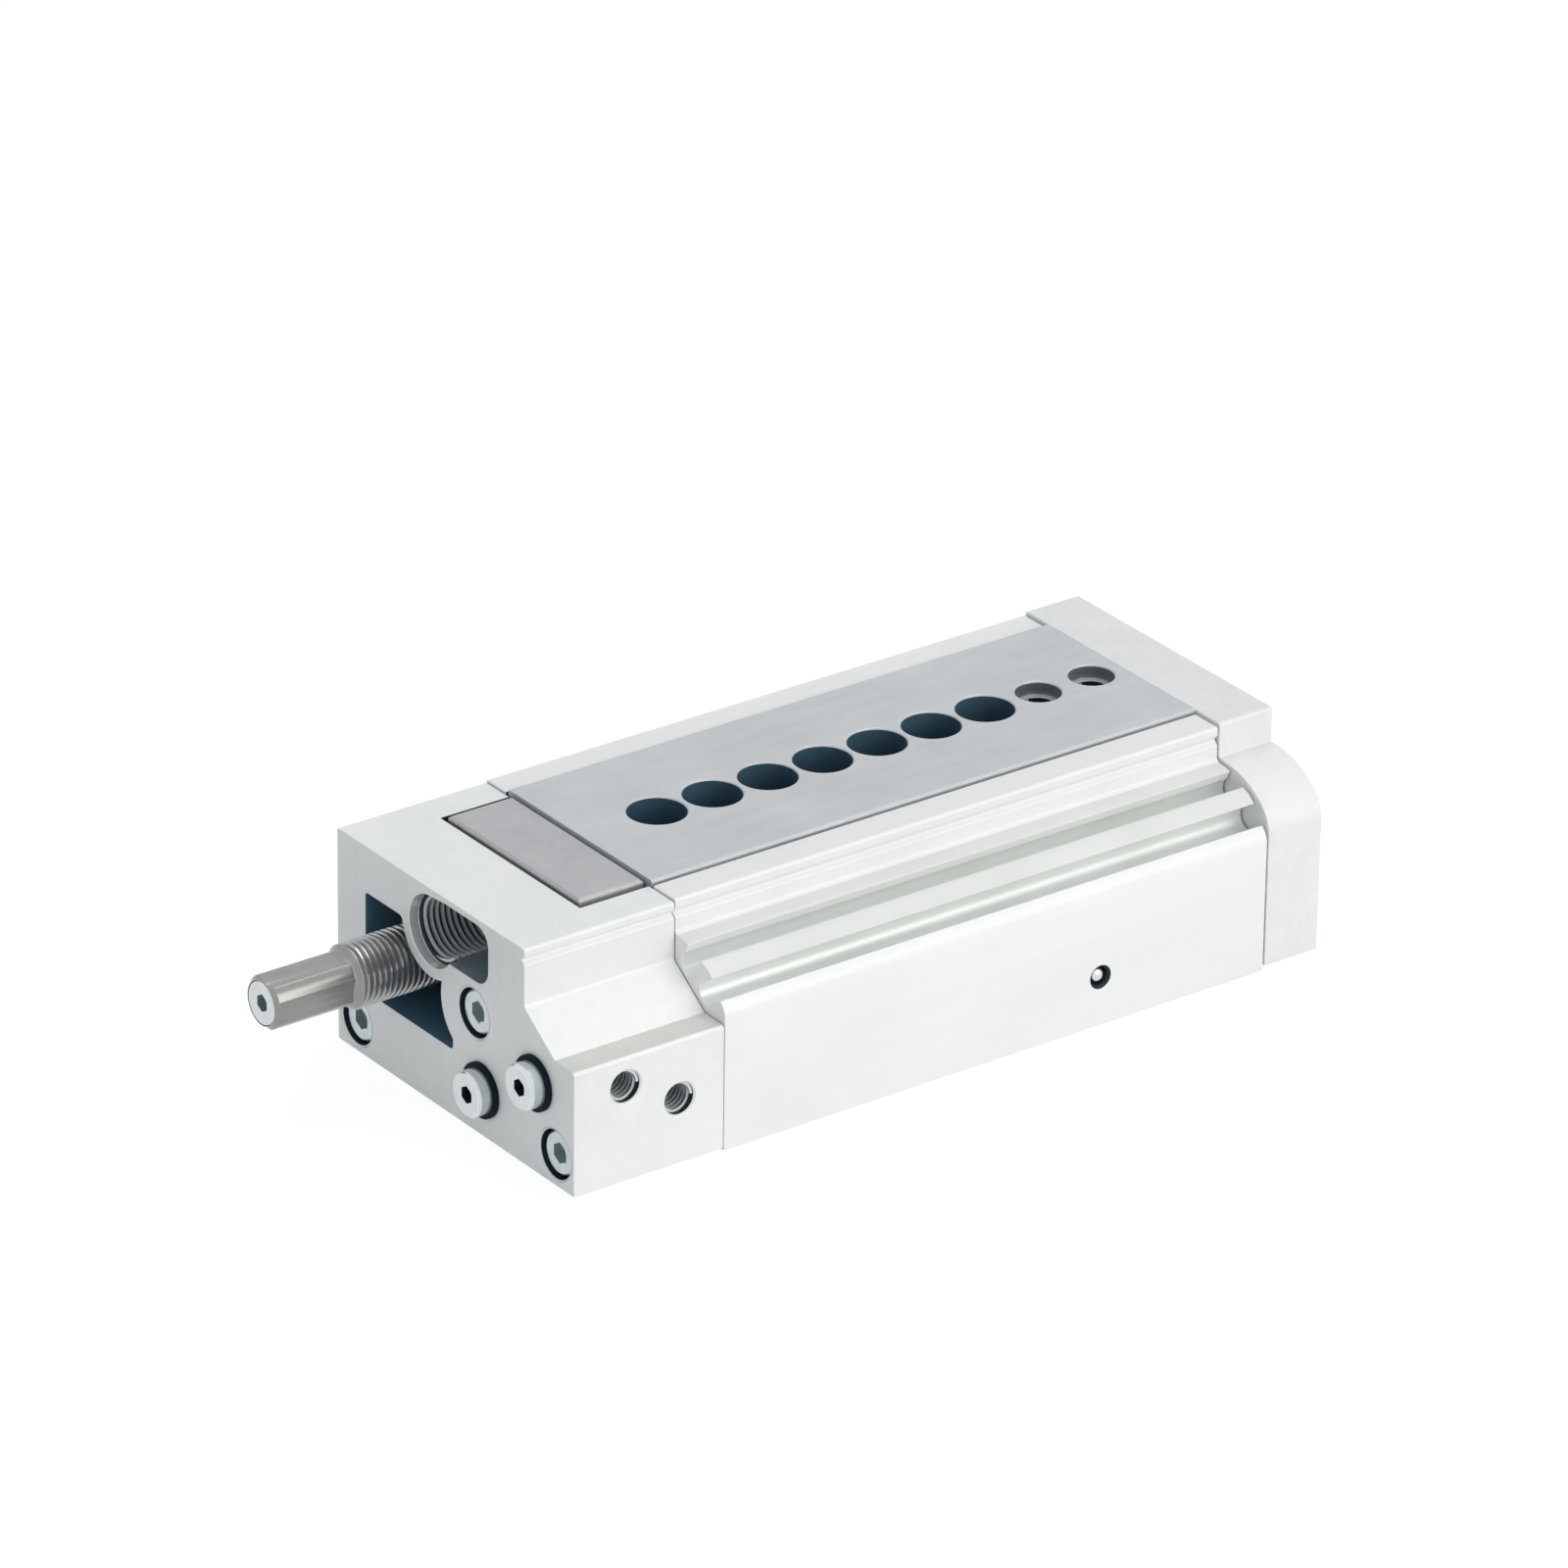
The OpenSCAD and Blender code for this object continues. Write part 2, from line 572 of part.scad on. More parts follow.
// ---- yoke plate ----
yoke_pts = concat(
  [[-port_y - edge, yoke_lift], [port_y, yoke_lift], [port_y, cheek_z]],
  [for (k = [1 : cheek_steps]) [port_y + shoulder_in * (1 - cos(k * 90 / cheek_steps)), cheek_z + cheek_h * sin(k * 90 / cheek_steps)]],
  [at([shoulder_in, yoke_top - edge]), at([shoulder_in + edge, yoke_top])],
  [[-port_y - edge, yoke_top], [-port_y, yoke_top - edge], [-port_y, yoke_lift + edge]]
);
module yoke_plate() color([0.8, 0.81, 0.82]) difference() {
  profile(yoke_x, face_x, yoke_pts);
  for (p = [[yoke_screw_y[0], long_screw_z], [yoke_screw_y[1], long_screw_z], [bore_y, bore_z]]) {
    xrod(yoke_x - eps, face_x, p[0], p[1], screw_d / 2 + screw_clear);
    xrod(face_x - seat_h, face_x + eps, p[0], p[1], head_screw_d / 2 + head_clear);
  }
  xrod(yoke_x - eps, rod_front, bore_y, bore_z, rod_d / 2 + tip_fit);
  for (y = [-yoke_hole_y, yoke_hole_y]) for (z = yoke_hole_z) {
    xrod(yoke_x - eps, face_x + eps, y, z, thread_d / 2);
    xrod(face_x - centring_l, face_x + eps, y, z, centring_d / 2);
  }
}
module yoke_screws() color([0.3, 0.31, 0.33])
  for (y = yoke_screw_y) socket_screw(face_x - seat_h, y, long_screw_z, 1, yoke_t - seat_h + yoke_screw_l);

// ---- stop block ----
module stop_block() color([0.56, 0.55, 0.56]) difference() {
  union() {
    box([block_x0, guide_y - block_w / 2, block_z], [block_x1, guide_y + block_w / 2, block_top - edge]);
    box([block_x0 + edge, guide_y - block_w / 2 + edge, block_z], [block_x1 - edge, guide_y + block_w / 2 - edge, block_top]);
    box([block_x0, absorber_y - leg_w / 2, leg_z], [block_x1, absorber_y + leg_w / 2, block_z + eps]);
    box([block_x1 - eps, guide_y - bridge_w / 2, block_z], [slide_x, guide_y + bridge_w / 2, block_top - block_drop]);
  }
  xrod(block_x0 - eps, slide_x + eps, absorber_y, absorber_z, absorber_d / 2 + absorber_fit);
  for (y = block_screw_y) {
    xrod(block_x0 - eps, slide_x + eps, y, long_screw_z, screw_d / 2 + screw_clear);
    xrod(block_x0 - eps, block_x0 + seat_h, y, long_screw_z, head_screw_d / 2 + head_clear);
  }
}
module block_screws() color([0.3, 0.31, 0.33])
  for (y = block_screw_y) socket_screw(block_x0 + seat_h, y, long_screw_z, -1, block_t + block_gap - seat_h + block_screw_l);

// ---- shock absorber ----
thread_r = absorber_d / 2;
root_r = thread_r - thread_depth * absorber_pitch;
thread_x0 = absorber_x + head_l + neck_l;
rings = floor((absorber_end - thread_x0) / absorber_pitch - 0.5);
thread_pts = concat([[0, thread_x0 - plug_gap], [root_r, thread_x0 - plug_gap]],
  [for (k = [0 : rings - 1]) each [
    [root_r, thread_x0 + k * absorber_pitch],
    [thread_r, thread_x0 + (k + 0.5 - crest) * absorber_pitch],
    [thread_r, thread_x0 + (k + 0.5 + crest) * absorber_pitch]]],
  [[root_r, thread_x0 + rings * absorber_pitch], [root_r, absorber_end], [0, absorber_end]]);
module spanner_head() intersection() {
  xrod(absorber_x + end_chamfer, absorber_x + head_l, absorber_y, absorber_z, head_d / 2);
  box([absorber_x, absorber_y - flats / 2, absorber_z - flats / 2], [absorber_x + head_l + eps, absorber_y + flats / 2, absorber_z + flats / 2]);
}
module absorber_body() color([0.66, 0.63, 0.6]) difference() {
  union() {
    spanner_head();
    xcone(absorber_x, absorber_x + end_chamfer + neck_in / 10, absorber_y, absorber_z, flats / 2 - 0.5, flats / 2);
    xcone(absorber_x + head_l - neck_in, absorber_x + head_l + end_chamfer, absorber_y, absorber_z, head_d / 2 - 0.2, thread_r - neck_in);
    xrod(absorber_x + head_l + end_chamfer, thread_x0 + neck_in, absorber_y, absorber_z, thread_r - neck_in);
    xturn(absorber_y, absorber_z) polygon(thread_pts);
  }
  xrod(absorber_x - eps, absorber_x + socket_l, absorber_y, absorber_z, flats / 2 - socket_wall);
  xrod(absorber_end - tip_l - buffer - tip_rest, absorber_end + eps, absorber_y, absorber_z, tip_r + tip_fit);
}
module absorber_plug() color([0.72, 0.76, 0.77]) difference() {
  xrod(absorber_x + ring_gap, absorber_x + socket_l, absorber_y, absorber_z, flats / 2 - socket_wall - tip_fit);
  xhex(absorber_x - eps, absorber_x + 0.7 * socket_l, absorber_y, absorber_z, socket_l);
}
module absorber_plunger() color([0.75, 0.76, 0.78])
  xrod(absorber_end - tip_l, absorber_end + tip_out, absorber_y, absorber_z, tip_r);

// ---- piston and rod ----
module piston_rod() color([0.74, 0.75, 0.77]) difference() {
  union() {
    xrod(piston_x + piston_l, rod_front, bore_y, bore_z, rod_d / 2);
    xrod(piston_x, piston_x + piston_l + eps, bore_y, bore_z, spigot_r);
  }
  xrod(rod_front - rod_thread_l, rod_front + eps, bore_y, bore_z, screw_d / 2);
}
module rod_screw() color([0.3, 0.31, 0.33])
  socket_screw(face_x - seat_h, bore_y, bore_z, 1, yoke_t - seat_h - rod_seat + rod_screw_l);
// the seal sits in a groove round the middle of each half
piston_groove_l = 2.2;
function groove_x(x) = x + (piston_t - piston_groove_l) / 2;
module piston_half(x) difference() {
  xrod(x, x + piston_t, bore_y, bore_z, bore_d / 2 - piston_gap);
  xrod(x - eps, x + piston_t + eps, bore_y, bore_z, spigot_r + press_fit);
  xring(groove_x(x), groove_x(x) + piston_groove_l, bore_y, bore_z, bore_d / 2 - piston_groove_w, bore_d / 2 + eps);
}
module piston_seal(x)
  xring(groove_x(x) + 2 * ring_gap, groove_x(x) + piston_groove_l - 2 * ring_gap, bore_y, bore_z,
        bore_d / 2 - piston_groove_w + ring_gap, bore_d / 2 - piston_gap / 2);
piston_front_x = piston_x + piston_t + magnet_t;
module piston_rear() color([0.76, 0.77, 0.79]) piston_half(piston_x);
module piston_front() color([0.76, 0.77, 0.79]) piston_half(piston_front_x);
module piston_magnet() color([0.2, 0.2, 0.22])
  xring(piston_x + piston_t, piston_front_x, bore_y, bore_z, spigot_r + ring_gap, bore_d / 2 - piston_gap - run_gap);
module piston_seals() color([0.1, 0.1, 0.11]) {
  piston_seal(piston_x);
  piston_seal(piston_front_x);
}

housing();
end_cap();
cap_screws();
channel_plugs();
plug_seals();
duct_ball();
track_right();
track_left();
rod_bearing();
bearing_o_ring();
rod_seal();
bearing_clip();
bore_o_ring();
slide();
yoke_plate();
yoke_screws();
stop_block();
block_screws();
absorber_body();
absorber_plug();
absorber_plunger();
piston_rod();
rod_screw();
piston_front();
piston_rear();
piston_magnet();
piston_seals();
cage_right();
balls_right();
cage_left();
balls_left();
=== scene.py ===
import json
import math

import bmesh
import bpy
from mathutils import Matrix, Vector

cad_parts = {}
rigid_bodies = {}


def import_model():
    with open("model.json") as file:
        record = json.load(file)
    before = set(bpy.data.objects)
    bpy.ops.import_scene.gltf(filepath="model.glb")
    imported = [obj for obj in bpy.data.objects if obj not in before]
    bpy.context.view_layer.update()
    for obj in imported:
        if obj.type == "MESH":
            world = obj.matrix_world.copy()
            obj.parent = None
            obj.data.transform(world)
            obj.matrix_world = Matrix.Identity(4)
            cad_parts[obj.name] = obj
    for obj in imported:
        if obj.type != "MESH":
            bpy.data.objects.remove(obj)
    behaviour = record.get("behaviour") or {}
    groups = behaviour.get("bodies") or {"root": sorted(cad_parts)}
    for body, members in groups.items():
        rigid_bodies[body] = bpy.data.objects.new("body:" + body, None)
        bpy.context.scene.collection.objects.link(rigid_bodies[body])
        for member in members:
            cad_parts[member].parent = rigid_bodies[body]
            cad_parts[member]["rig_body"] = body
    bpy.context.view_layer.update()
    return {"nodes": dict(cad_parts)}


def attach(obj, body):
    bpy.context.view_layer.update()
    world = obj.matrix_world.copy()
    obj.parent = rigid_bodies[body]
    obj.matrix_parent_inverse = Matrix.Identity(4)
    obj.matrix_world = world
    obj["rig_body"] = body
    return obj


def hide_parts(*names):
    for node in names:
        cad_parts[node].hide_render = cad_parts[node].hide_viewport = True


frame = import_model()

# Pneumatic slide table: finishes and fine detail on top of the construction's solids.
# Lengths in the settings are in millimetres, as on a workshop drawing.
mm = 0.001
mergeWithin = 0.001 * mm    # corners nearer than this are one corner
touchWithin = 0.0005 * mm
turnedSharp = math.radians(24)    # edges of turned pieces and threads are crisp from this angle on
scene = bpy.context.scene
nodes = frame["nodes"]
print("frame loaded:", len(nodes), "nodes")


def addNode(tree, kind, values=None, **settings):
    # a value that is another node's output is linked, and any other is set
    node = tree.nodes.new(kind)
    for key, value in settings.items():
        setattr(node, key, value)
    for socket, value in (values or {}).items():
        if isinstance(value, bpy.types.NodeSocket):
            tree.links.new(value, node.inputs[socket])
        else:
            node.inputs[socket].default_value = value
    return node


def makeGroup(name, kind, inputs, outputs):
    tree = bpy.data.node_groups.new(name, kind)
    for label, socketKind, value in inputs:
        socket = tree.interface.new_socket(label, in_out="INPUT", socket_type="NodeSocket" + socketKind)
        if value is not None:
            socket.default_value = value
    for label, socketKind in outputs:
        tree.interface.new_socket(label, in_out="OUTPUT", socket_type="NodeSocket" + socketKind)
    return tree, tree.nodes.new("NodeGroupInput"), tree.nodes.new("NodeGroupOutput")


def wire(tree, rows):
    # each row is a node, its output, the next node and its input
    for source, output, target, socket in rows:
        tree.links.new(source.outputs[output], target.inputs[socket])


# surface effects that the finishes share
def makeGrain():
    # fine tooth of a surface; Stretch draws it out along an axis for ground, drawn or turned metal
    tree, start, end = makeGroup("surfaceGrain", "ShaderNodeTree",
                                 [("Scale", "Float", 6000.0), ("Stretch", "Vector", (1, 1, 1))],
                                 [("Height", "Float"), ("Streak", "Float")])
    place = addNode(tree, "ShaderNodeTexCoord")
    stretch = addNode(tree, "ShaderNodeMapping")
    fine = addNode(tree, "ShaderNodeTexNoise", {"Detail": 3.0, "Roughness": 0.6})
    broad = addNode(tree, "ShaderNodeTexNoise", {"Scale": 420.0, "Detail": 4.0, "Roughness": 0.55})
    wire(tree, ((place, "Object", stretch, "Vector"),
                (start, "Stretch", stretch, "Scale"),
                (stretch, "Vector", fine, "Vector"),
                (start, "Scale", fine, "Scale"),
                (stretch, "Vector", broad, "Vector"),
                (fine, "Fac", end, "Height"),
                (broad, "Fac", end, "Streak")))
    return tree


def makeDrift():
    # slow change between two tones over the piece
    tree, start, end = makeGroup("toneDrift", "ShaderNodeTree",
                                 [("Light tone", "Color", (0.8, 0.8, 0.8, 1)),
                                  ("Dark tone", "Color", (0.7, 0.7, 0.7, 1)),
                                  ("Scale", "Float", 60.0), ("Streak", "Float", 0.5)],
                                 [("Color", "Color")])
    place = addNode(tree, "ShaderNodeTexCoord")
    cloud = addNode(tree, "ShaderNodeTexNoise", {"Detail": 4.0, "Roughness": 0.6})
    spread = addNode(tree, "ShaderNodeMapRange", {"From Min": 0.36, "From Max": 0.64})
    both = addNode(tree, "ShaderNodeMix", {"Factor": 0.4}, data_type="FLOAT")
    tones = addNode(tree, "ShaderNodeMix", data_type="RGBA")
    wire(tree, ((place, "Object", cloud, "Vector"),
                (start, "Scale", cloud, "Scale"),
                (cloud, "Fac", both, "A"),
                (start, "Streak", both, "B"),
                (both, "Result", spread, "Value"),
                (spread, "Result", tones, "Factor"),
                (start, "Light tone", tones, "A"),
                (start, "Dark tone", tones, "B"),
                (tones, "Result", end, "Color")))
    return tree


def makeEdgeWearAndHighlight():
    # 1 on an edge, which takes real wear and a painted highlight, and 0 on open faces
    tree, start, end = makeGroup("edgeRub", "ShaderNodeTree",
                                 [("Reach", "Float", 0.0003)],
                                 [("Mask", "Float")])
    rounded = addNode(tree, "ShaderNodeBevel", samples=6)
    facing = addNode(tree, "ShaderNodeNewGeometry")
    turn = addNode(tree, "ShaderNodeVectorMath", operation="DOT_PRODUCT")
    spread = addNode(tree, "ShaderNodeMapRange", {"From Min": 0.995, "From Max": 0.86})
    wire(tree, ((start, "Reach", rounded, "Radius"),
                (rounded, "Normal", turn, 0),
                (facing, "Normal", turn, 1),
                (turn, "Value", spread, "Value"),
                (spread, "Result", end, "Mask")))
    return tree


grainGroup = makeGrain()
driftGroup = makeDrift()
edgeWearHighlightGroup = makeEdgeWearAndHighlight()


def placeGroup(tree, group, values):
    node = tree.nodes.new("ShaderNodeGroup")
    node.node_tree = group
    for socket, value in values.items():
        node.inputs[socket].default_value = value
    return node


usualFinish = {"metallic": 0.3, "gloss": 0.5, "stretch": (1, 1, 1), "cloud": 60.0, "reach": 0.25, "wearAndHighlight": 0.6,
               "tooth": 0.25, "toothDeep": 0.02}


def makeFinish(name, ownLook):
    look = dict(usualFinish, **ownLook)
    light, dark, edge = [(*tone, 1) for tone in look["tones"]]
    finish = bpy.data.materials.new(name)
    finish.use_nodes = True
    tree = finish.node_tree
    shader = next(n for n in tree.nodes if n.type == "BSDF_PRINCIPLED")
    shader.inputs["Metallic"].default_value = look["metallic"]
    shader.inputs["Specular IOR Level"].default_value = look["gloss"]
    grain = placeGroup(tree, grainGroup, {"Scale": look["grain"], "Stretch": look["stretch"]})
    drift = placeGroup(tree, driftGroup, {"Light tone": light, "Dark tone": dark, "Scale": look["cloud"]})
    wearAndHighlightMask = placeGroup(tree, edgeWearHighlightGroup, {"Reach": look["reach"] * mm})
    # edges take the edge tone: real wear and a painted highlight
    wearAndHighlightTone = addNode(tree, "ShaderNodeMix", {"B": edge}, data_type="RGBA")
    wearAndHighlightShare = addNode(tree, "ShaderNodeMapRange", {"To Max": look["wearAndHighlight"]})
    rough = addNode(tree, "ShaderNodeMapRange", {"To Min": look["rough"][0], "To Max": look["rough"][1]})
    bump = addNode(tree, "ShaderNodeBump", {"Strength": look["tooth"], "Distance": look["toothDeep"] * mm})
    wire(tree, ((grain, "Streak", drift, "Streak"),
                (drift, "Color", wearAndHighlightTone, "A"),
                (wearAndHighlightMask, "Mask", wearAndHighlightShare, "Value"),
                (wearAndHighlightShare, "Result", wearAndHighlightTone, "Factor"),
                (wearAndHighlightTone, "Result", shader, "Base Color"),
                (grain, "Height", rough, "Value"),
                (rough, "Result", shader, "Roughness"),
                (grain, "Height", bump, "Height"),
                (bump, "Normal", shader, "Normal")))
    return finish


# tones are the light one, the dark one and the one of edges, which is real wear and a painted highlight
finishLooks = {
    "housingAluminium": {"tones": ((0.87, 0.87, 0.86), (0.835, 0.835, 0.825), (0.93, 0.93, 0.92)),
        "grain": 9000.0, "stretch": (0.04, 1, 1), "rough": (0.42, 0.56), "metallic": 0.15, "gloss": 0.35},
    "capAluminium": {"tones": ((0.88, 0.885, 0.88), (0.825, 0.835, 0.835), (0.93, 0.93, 0.93)),
        "grain": 7000.0, "rough": (0.44, 0.58), "metallic": 0.15, "gloss": 0.35, "tooth": 0.35},
    "yokeAluminium": {"tones": ((0.85, 0.855, 0.85), (0.79, 0.795, 0.79), (0.93, 0.93, 0.93)),
        "grain": 7000.0, "rough": (0.5, 0.62), "metallic": 0.1, "gloss": 0.25, "tooth": 0.35},
    "slideSteel": {"tones": ((0.59, 0.605, 0.62), (0.52, 0.535, 0.56), (0.8, 0.81, 0.82)), "grain": 8000.0,
        "stretch": (0.2, 1, 1), "rough": (0.34, 0.48), "metallic": 0.25},
    "blockSteel": {"tones": ((0.485, 0.48, 0.495), (0.42, 0.42, 0.445), (0.84, 0.83, 0.83)),
        "grain": 8000.0, "rough": (0.32, 0.44), "metallic": 0.25, "cloud": 120.0},
    "zincScrew": {"tones": ((0.6, 0.67, 0.69), (0.5, 0.575, 0.6), (0.95, 0.96, 0.95)), "reach": 0.3,
        "wearAndHighlight": 0.85, "grain": 3000.0, "rough": (0.2, 0.3), "metallic": 0.75, "cloud": 300.0,
        "tooth": 0.08},
    "zincPlug": {"tones": ((0.72, 0.76, 0.765), (0.64, 0.685, 0.695), (0.96, 0.96, 0.95)), "reach": 0.3,
        "wearAndHighlight": 0.85, "grain": 3000.0, "rough": (0.2, 0.3), "metallic": 0.75, "cloud": 300.0,
        "tooth": 0.08},
    "blackRubber": {"tones": ((0.007, 0.017, 0.023), (0.004, 0.011, 0.016), (0.014, 0.024, 0.03)),
        "grain": 5000.0, "rough": (0.5, 0.7), "metallic": 0.0, "gloss": 0.08, "wearAndHighlight": 0.3},
    # painted shade on the housing's narrow shelves and the rib between the slots
    "shelfAluminium": {"tones": ((0.79, 0.79, 0.78), (0.74, 0.74, 0.73), (0.92, 0.92, 0.91)),
        "grain": 9000.0, "stretch": (0.04, 1, 1), "rough": (0.4, 0.54), "metallic": 0.1, "gloss": 0.25},
    "ledgeShade": {"tones": ((0.7, 0.7, 0.675), (0.63, 0.63, 0.605), (0.93, 0.93, 0.93)), "grain": 7000.0,
        "rough": (0.44, 0.58), "metallic": 0.1, "gloss": 0.3},
    "seamShade": {"tones": ((0.2, 0.205, 0.2), (0.15, 0.155, 0.15), (0.24, 0.24, 0.235)), "grain": 7000.0,
        "rough": (0.5, 0.65), "metallic": 0.0, "gloss": 0.2, "wearAndHighlight": 0.2},
    "slotShade": {"tones": ((0.85, 0.865, 0.85), (0.79, 0.81, 0.79), (0.92, 0.92, 0.91)), "grain": 9000.0,
        "stretch": (0.04, 1, 1), "rough": (0.3, 0.42)},
    # painted shade inside the slide's large holes
    "darkBore": {"tones": ((0.056, 0.115, 0.165), (0.04, 0.088, 0.13), (0.06, 0.12, 0.17)), "grain": 5000.0,
        "rough": (0.5, 0.65), "metallic": 0.0, "gloss": 0.2, "wearAndHighlight": 0.2},
    "windowShade": {"tones": ((0.115, 0.23, 0.32), (0.085, 0.18, 0.265), (0.12, 0.23, 0.31)),
        "grain": 5000.0, "rough": (0.5, 0.65), "metallic": 0.0, "gloss": 0.2, "wearAndHighlight": 0.2},
    # painted shade in thread roots, deep bores, screw counterbores and socket insides
    "threadRoot": {"tones": ((0.012, 0.024, 0.034), (0.008, 0.017, 0.026), (0.02, 0.03, 0.04)),
        "grain": 5000.0, "rough": (0.45, 0.6), "metallic": 0.0, "gloss": 0.3, "wearAndHighlight": 0.2},
    # painted half shade on thread flanks; on the slide's threads it is the lighter crest
    "threadFlank": {"tones": ((0.74, 0.77, 0.78), (0.66, 0.69, 0.71), (0.8, 0.82, 0.83)), "grain": 4000.0,
        "rough": (0.25, 0.35), "metallic": 0.5, "tooth": 0.1},
    # painted highlight on thread crests
    "threadCrest": {"tones": ((0.93, 0.93, 0.93), (0.87, 0.88, 0.88), (0.95, 0.95, 0.95)), "grain": 4000.0,
        "rough": (0.2, 0.3), "metallic": 0.25, "tooth": 0.1},
    "turnedBore": {"tones": ((0.92, 0.92, 0.9), (0.78, 0.8, 0.81), (0.95, 0.95, 0.95)), "grain": 2600.0,
        "stretch": (1, 0.06, 0.06), "rough": (0.16, 0.28), "metallic": 0.45, "tooth": 0.08},
    "recessShade": {"tones": ((0.34, 0.42, 0.45), (0.25, 0.32, 0.35), (0.85, 0.86, 0.86)), "grain": 5000.0,
        "rough": (0.3, 0.42), "metallic": 0.4, "cloud": 200.0},
    "socketShade": {"tones": ((0.55, 0.6, 0.61), (0.42, 0.47, 0.48), (0.6, 0.64, 0.65)), "grain": 3000.0,
        "rough": (0.25, 0.35), "metallic": 0.6, "cloud": 300.0, "tooth": 0.1},
    "holeShade": {"tones": ((0.24, 0.245, 0.25), (0.16, 0.165, 0.17), (0.6, 0.61, 0.62)), "grain": 4000.0,
        "rough": (0.3, 0.42), "metallic": 0.5, "tooth": 0.1},
    "shadedChannel": {"tones": ((0.04, 0.047, 0.055), (0.027, 0.033, 0.04), (0.3, 0.32, 0.34)),
        "grain": 7000.0, "rough": (0.4, 0.55), "metallic": 0.2, "gloss": 0.3, "wearAndHighlight": 0.2},
    "ballSteel": {"tones": ((0.72, 0.73, 0.75), (0.66, 0.67, 0.7), (0.8, 0.8, 0.82)), "grain": 9000.0,
        "rough": (0.08, 0.16), "metallic": 1.0, "tooth": 0.05},
    "trackSteel": {"tones": ((0.5, 0.51, 0.53), (0.43, 0.44, 0.46), (0.68, 0.69, 0.7)), "grain": 9000.0,
        "stretch": (0.03, 1, 1), "rough": (0.24, 0.36), "metallic": 0.8},
    "bearingBrass": {"tones": ((0.66, 0.5, 0.24), (0.56, 0.42, 0.19), (0.8, 0.66, 0.38)), "grain": 9000.0,
        "stretch": (1, 0.05, 0.05), "rough": (0.24, 0.38), "metallic": 0.9},
    "cageBrass": {"tones": ((0.7, 0.57, 0.3), (0.61, 0.49, 0.25), (0.84, 0.72, 0.46)), "grain": 8000.0,
        "stretch": (0.05, 1, 1), "rough": (0.24, 0.38), "metallic": 0.9},
    "darkSteel": {"tones": ((0.075, 0.078, 0.085), (0.045, 0.048, 0.054), (0.24, 0.24, 0.25)),
        "grain": 7000.0, "rough": (0.32, 0.5), "metallic": 0.7, "wearAndHighlight": 0.5},
    "absorberSteel": {"tones": ((0.325, 0.32, 0.312), (0.26, 0.256, 0.25), (0.85, 0.84, 0.82)),
        "grain": 2600.0, "stretch": (0.1, 1, 1), "rough": (0.2, 0.3), "metallic": 0.8, "tooth": 0.06},
    # painted highlight on the absorber's thread crests
    "absorberCrest": {"tones": ((0.6, 0.595, 0.59), (0.57, 0.565, 0.56), (0.75, 0.745, 0.735)),
        "grain": 1400.0, "rough": (0.2, 0.23), "metallic": 0.9, "tooth": 0.01, "wearAndHighlight": 0.15},
    # painted shade on the absorber's thread flanks
    "absorberFlank": {"tones": ((0.44, 0.44, 0.445), (0.41, 0.41, 0.415), (0.55, 0.55, 0.55)),
        "grain": 1400.0, "rough": (0.25, 0.28), "metallic": 0.85, "tooth": 0.01, "wearAndHighlight": 0.15},
    # painted shade on the absorber's core between the thread's teeth
    "absorberRoot": {"tones": ((0.12, 0.123, 0.13), (0.09, 0.093, 0.1), (0.06, 0.06, 0.06)),
        "grain": 2600.0, "rough": (0.35, 0.5), "tooth": 0.06},
    "polishedSteel": {"tones": ((0.74, 0.745, 0.76), (0.68, 0.685, 0.7), (0.84, 0.84, 0.85)),
        "grain": 9000.0, "stretch": (1, 0.05, 0.05), "rough": (0.1, 0.18), "metallic": 1.0},
    "pistonAluminium": {"tones": ((0.76, 0.77, 0.79), (0.69, 0.7, 0.72), (0.88, 0.88, 0.89)),
        "grain": 9000.0, "stretch": (1, 0.05, 0.05), "rough": (0.26, 0.4), "metallic": 0.7},
    "magnetBlack": {"tones": ((0.05, 0.05, 0.056), (0.03, 0.03, 0.035), (0.1, 0.1, 0.11)), "grain": 5000.0,
        "rough": (0.4, 0.6), "metallic": 0.4},
}
finishes = {name: makeFinish(name, look) for name, look in finishLooks.items()}
print("finishes made:", len(finishes))

finishOf = {
    "housing": "housingAluminium", "end_cap": "capAluminium", "cap_screws": "zincScrew",
    "channel_plugs": "zincPlug", "plug_seals": "blackRubber", "duct_ball": "ballSteel",
    "track_right": "trackSteel", "track_left": "trackSteel", "rod_bearing": "bearingBrass",
    "bearing_o_ring": "blackRubber", "rod_seal": "blackRubber", "bearing_clip": "darkSteel",
    "bore_o_ring": "blackRubber", "slide": "slideSteel", "yoke_plate": "yokeAluminium",
    "yoke_screws": "darkSteel", "stop_block": "blockSteel", "block_screws": "darkSteel",
    "absorber_body": "absorberSteel", "absorber_plug": "zincPlug", "absorber_plunger": "polishedSteel",
    "piston_rod": "polishedSteel", "rod_screw": "darkSteel", "piston_front": "pistonAluminium",
    "piston_rear": "pistonAluminium", "piston_magnet": "magnetBlack", "piston_seals": "blackRubber",
    "cage_right": "cageBrass", "balls_right": "ballSteel", "cage_left": "cageBrass",
    "balls_left": "ballSteel",
}
for name, finish in finishOf.items():
    slots = nodes[name].data.materials
    if len(slots) == 0:
        slots.append(finishes[finish])
    for k in range(len(slots)):
        slots[k] = finishes[finish]


# pieces carried over from the construction, with their edges eased
def mergedShape(source):
    shape = bmesh.new()
    shape.from_mesh(nodes[source].data)
    bmesh.ops.remove_doubles(shape, verts=shape.verts, dist=mergeWithin)
    return shape


def flatten(shape):
    # flat areas become one face each, so that an edge is one edge
    bmesh.ops.dissolve_limit(shape, angle_limit=math.radians(0.5), verts=shape.verts, edges=shape.edges)
    return shape


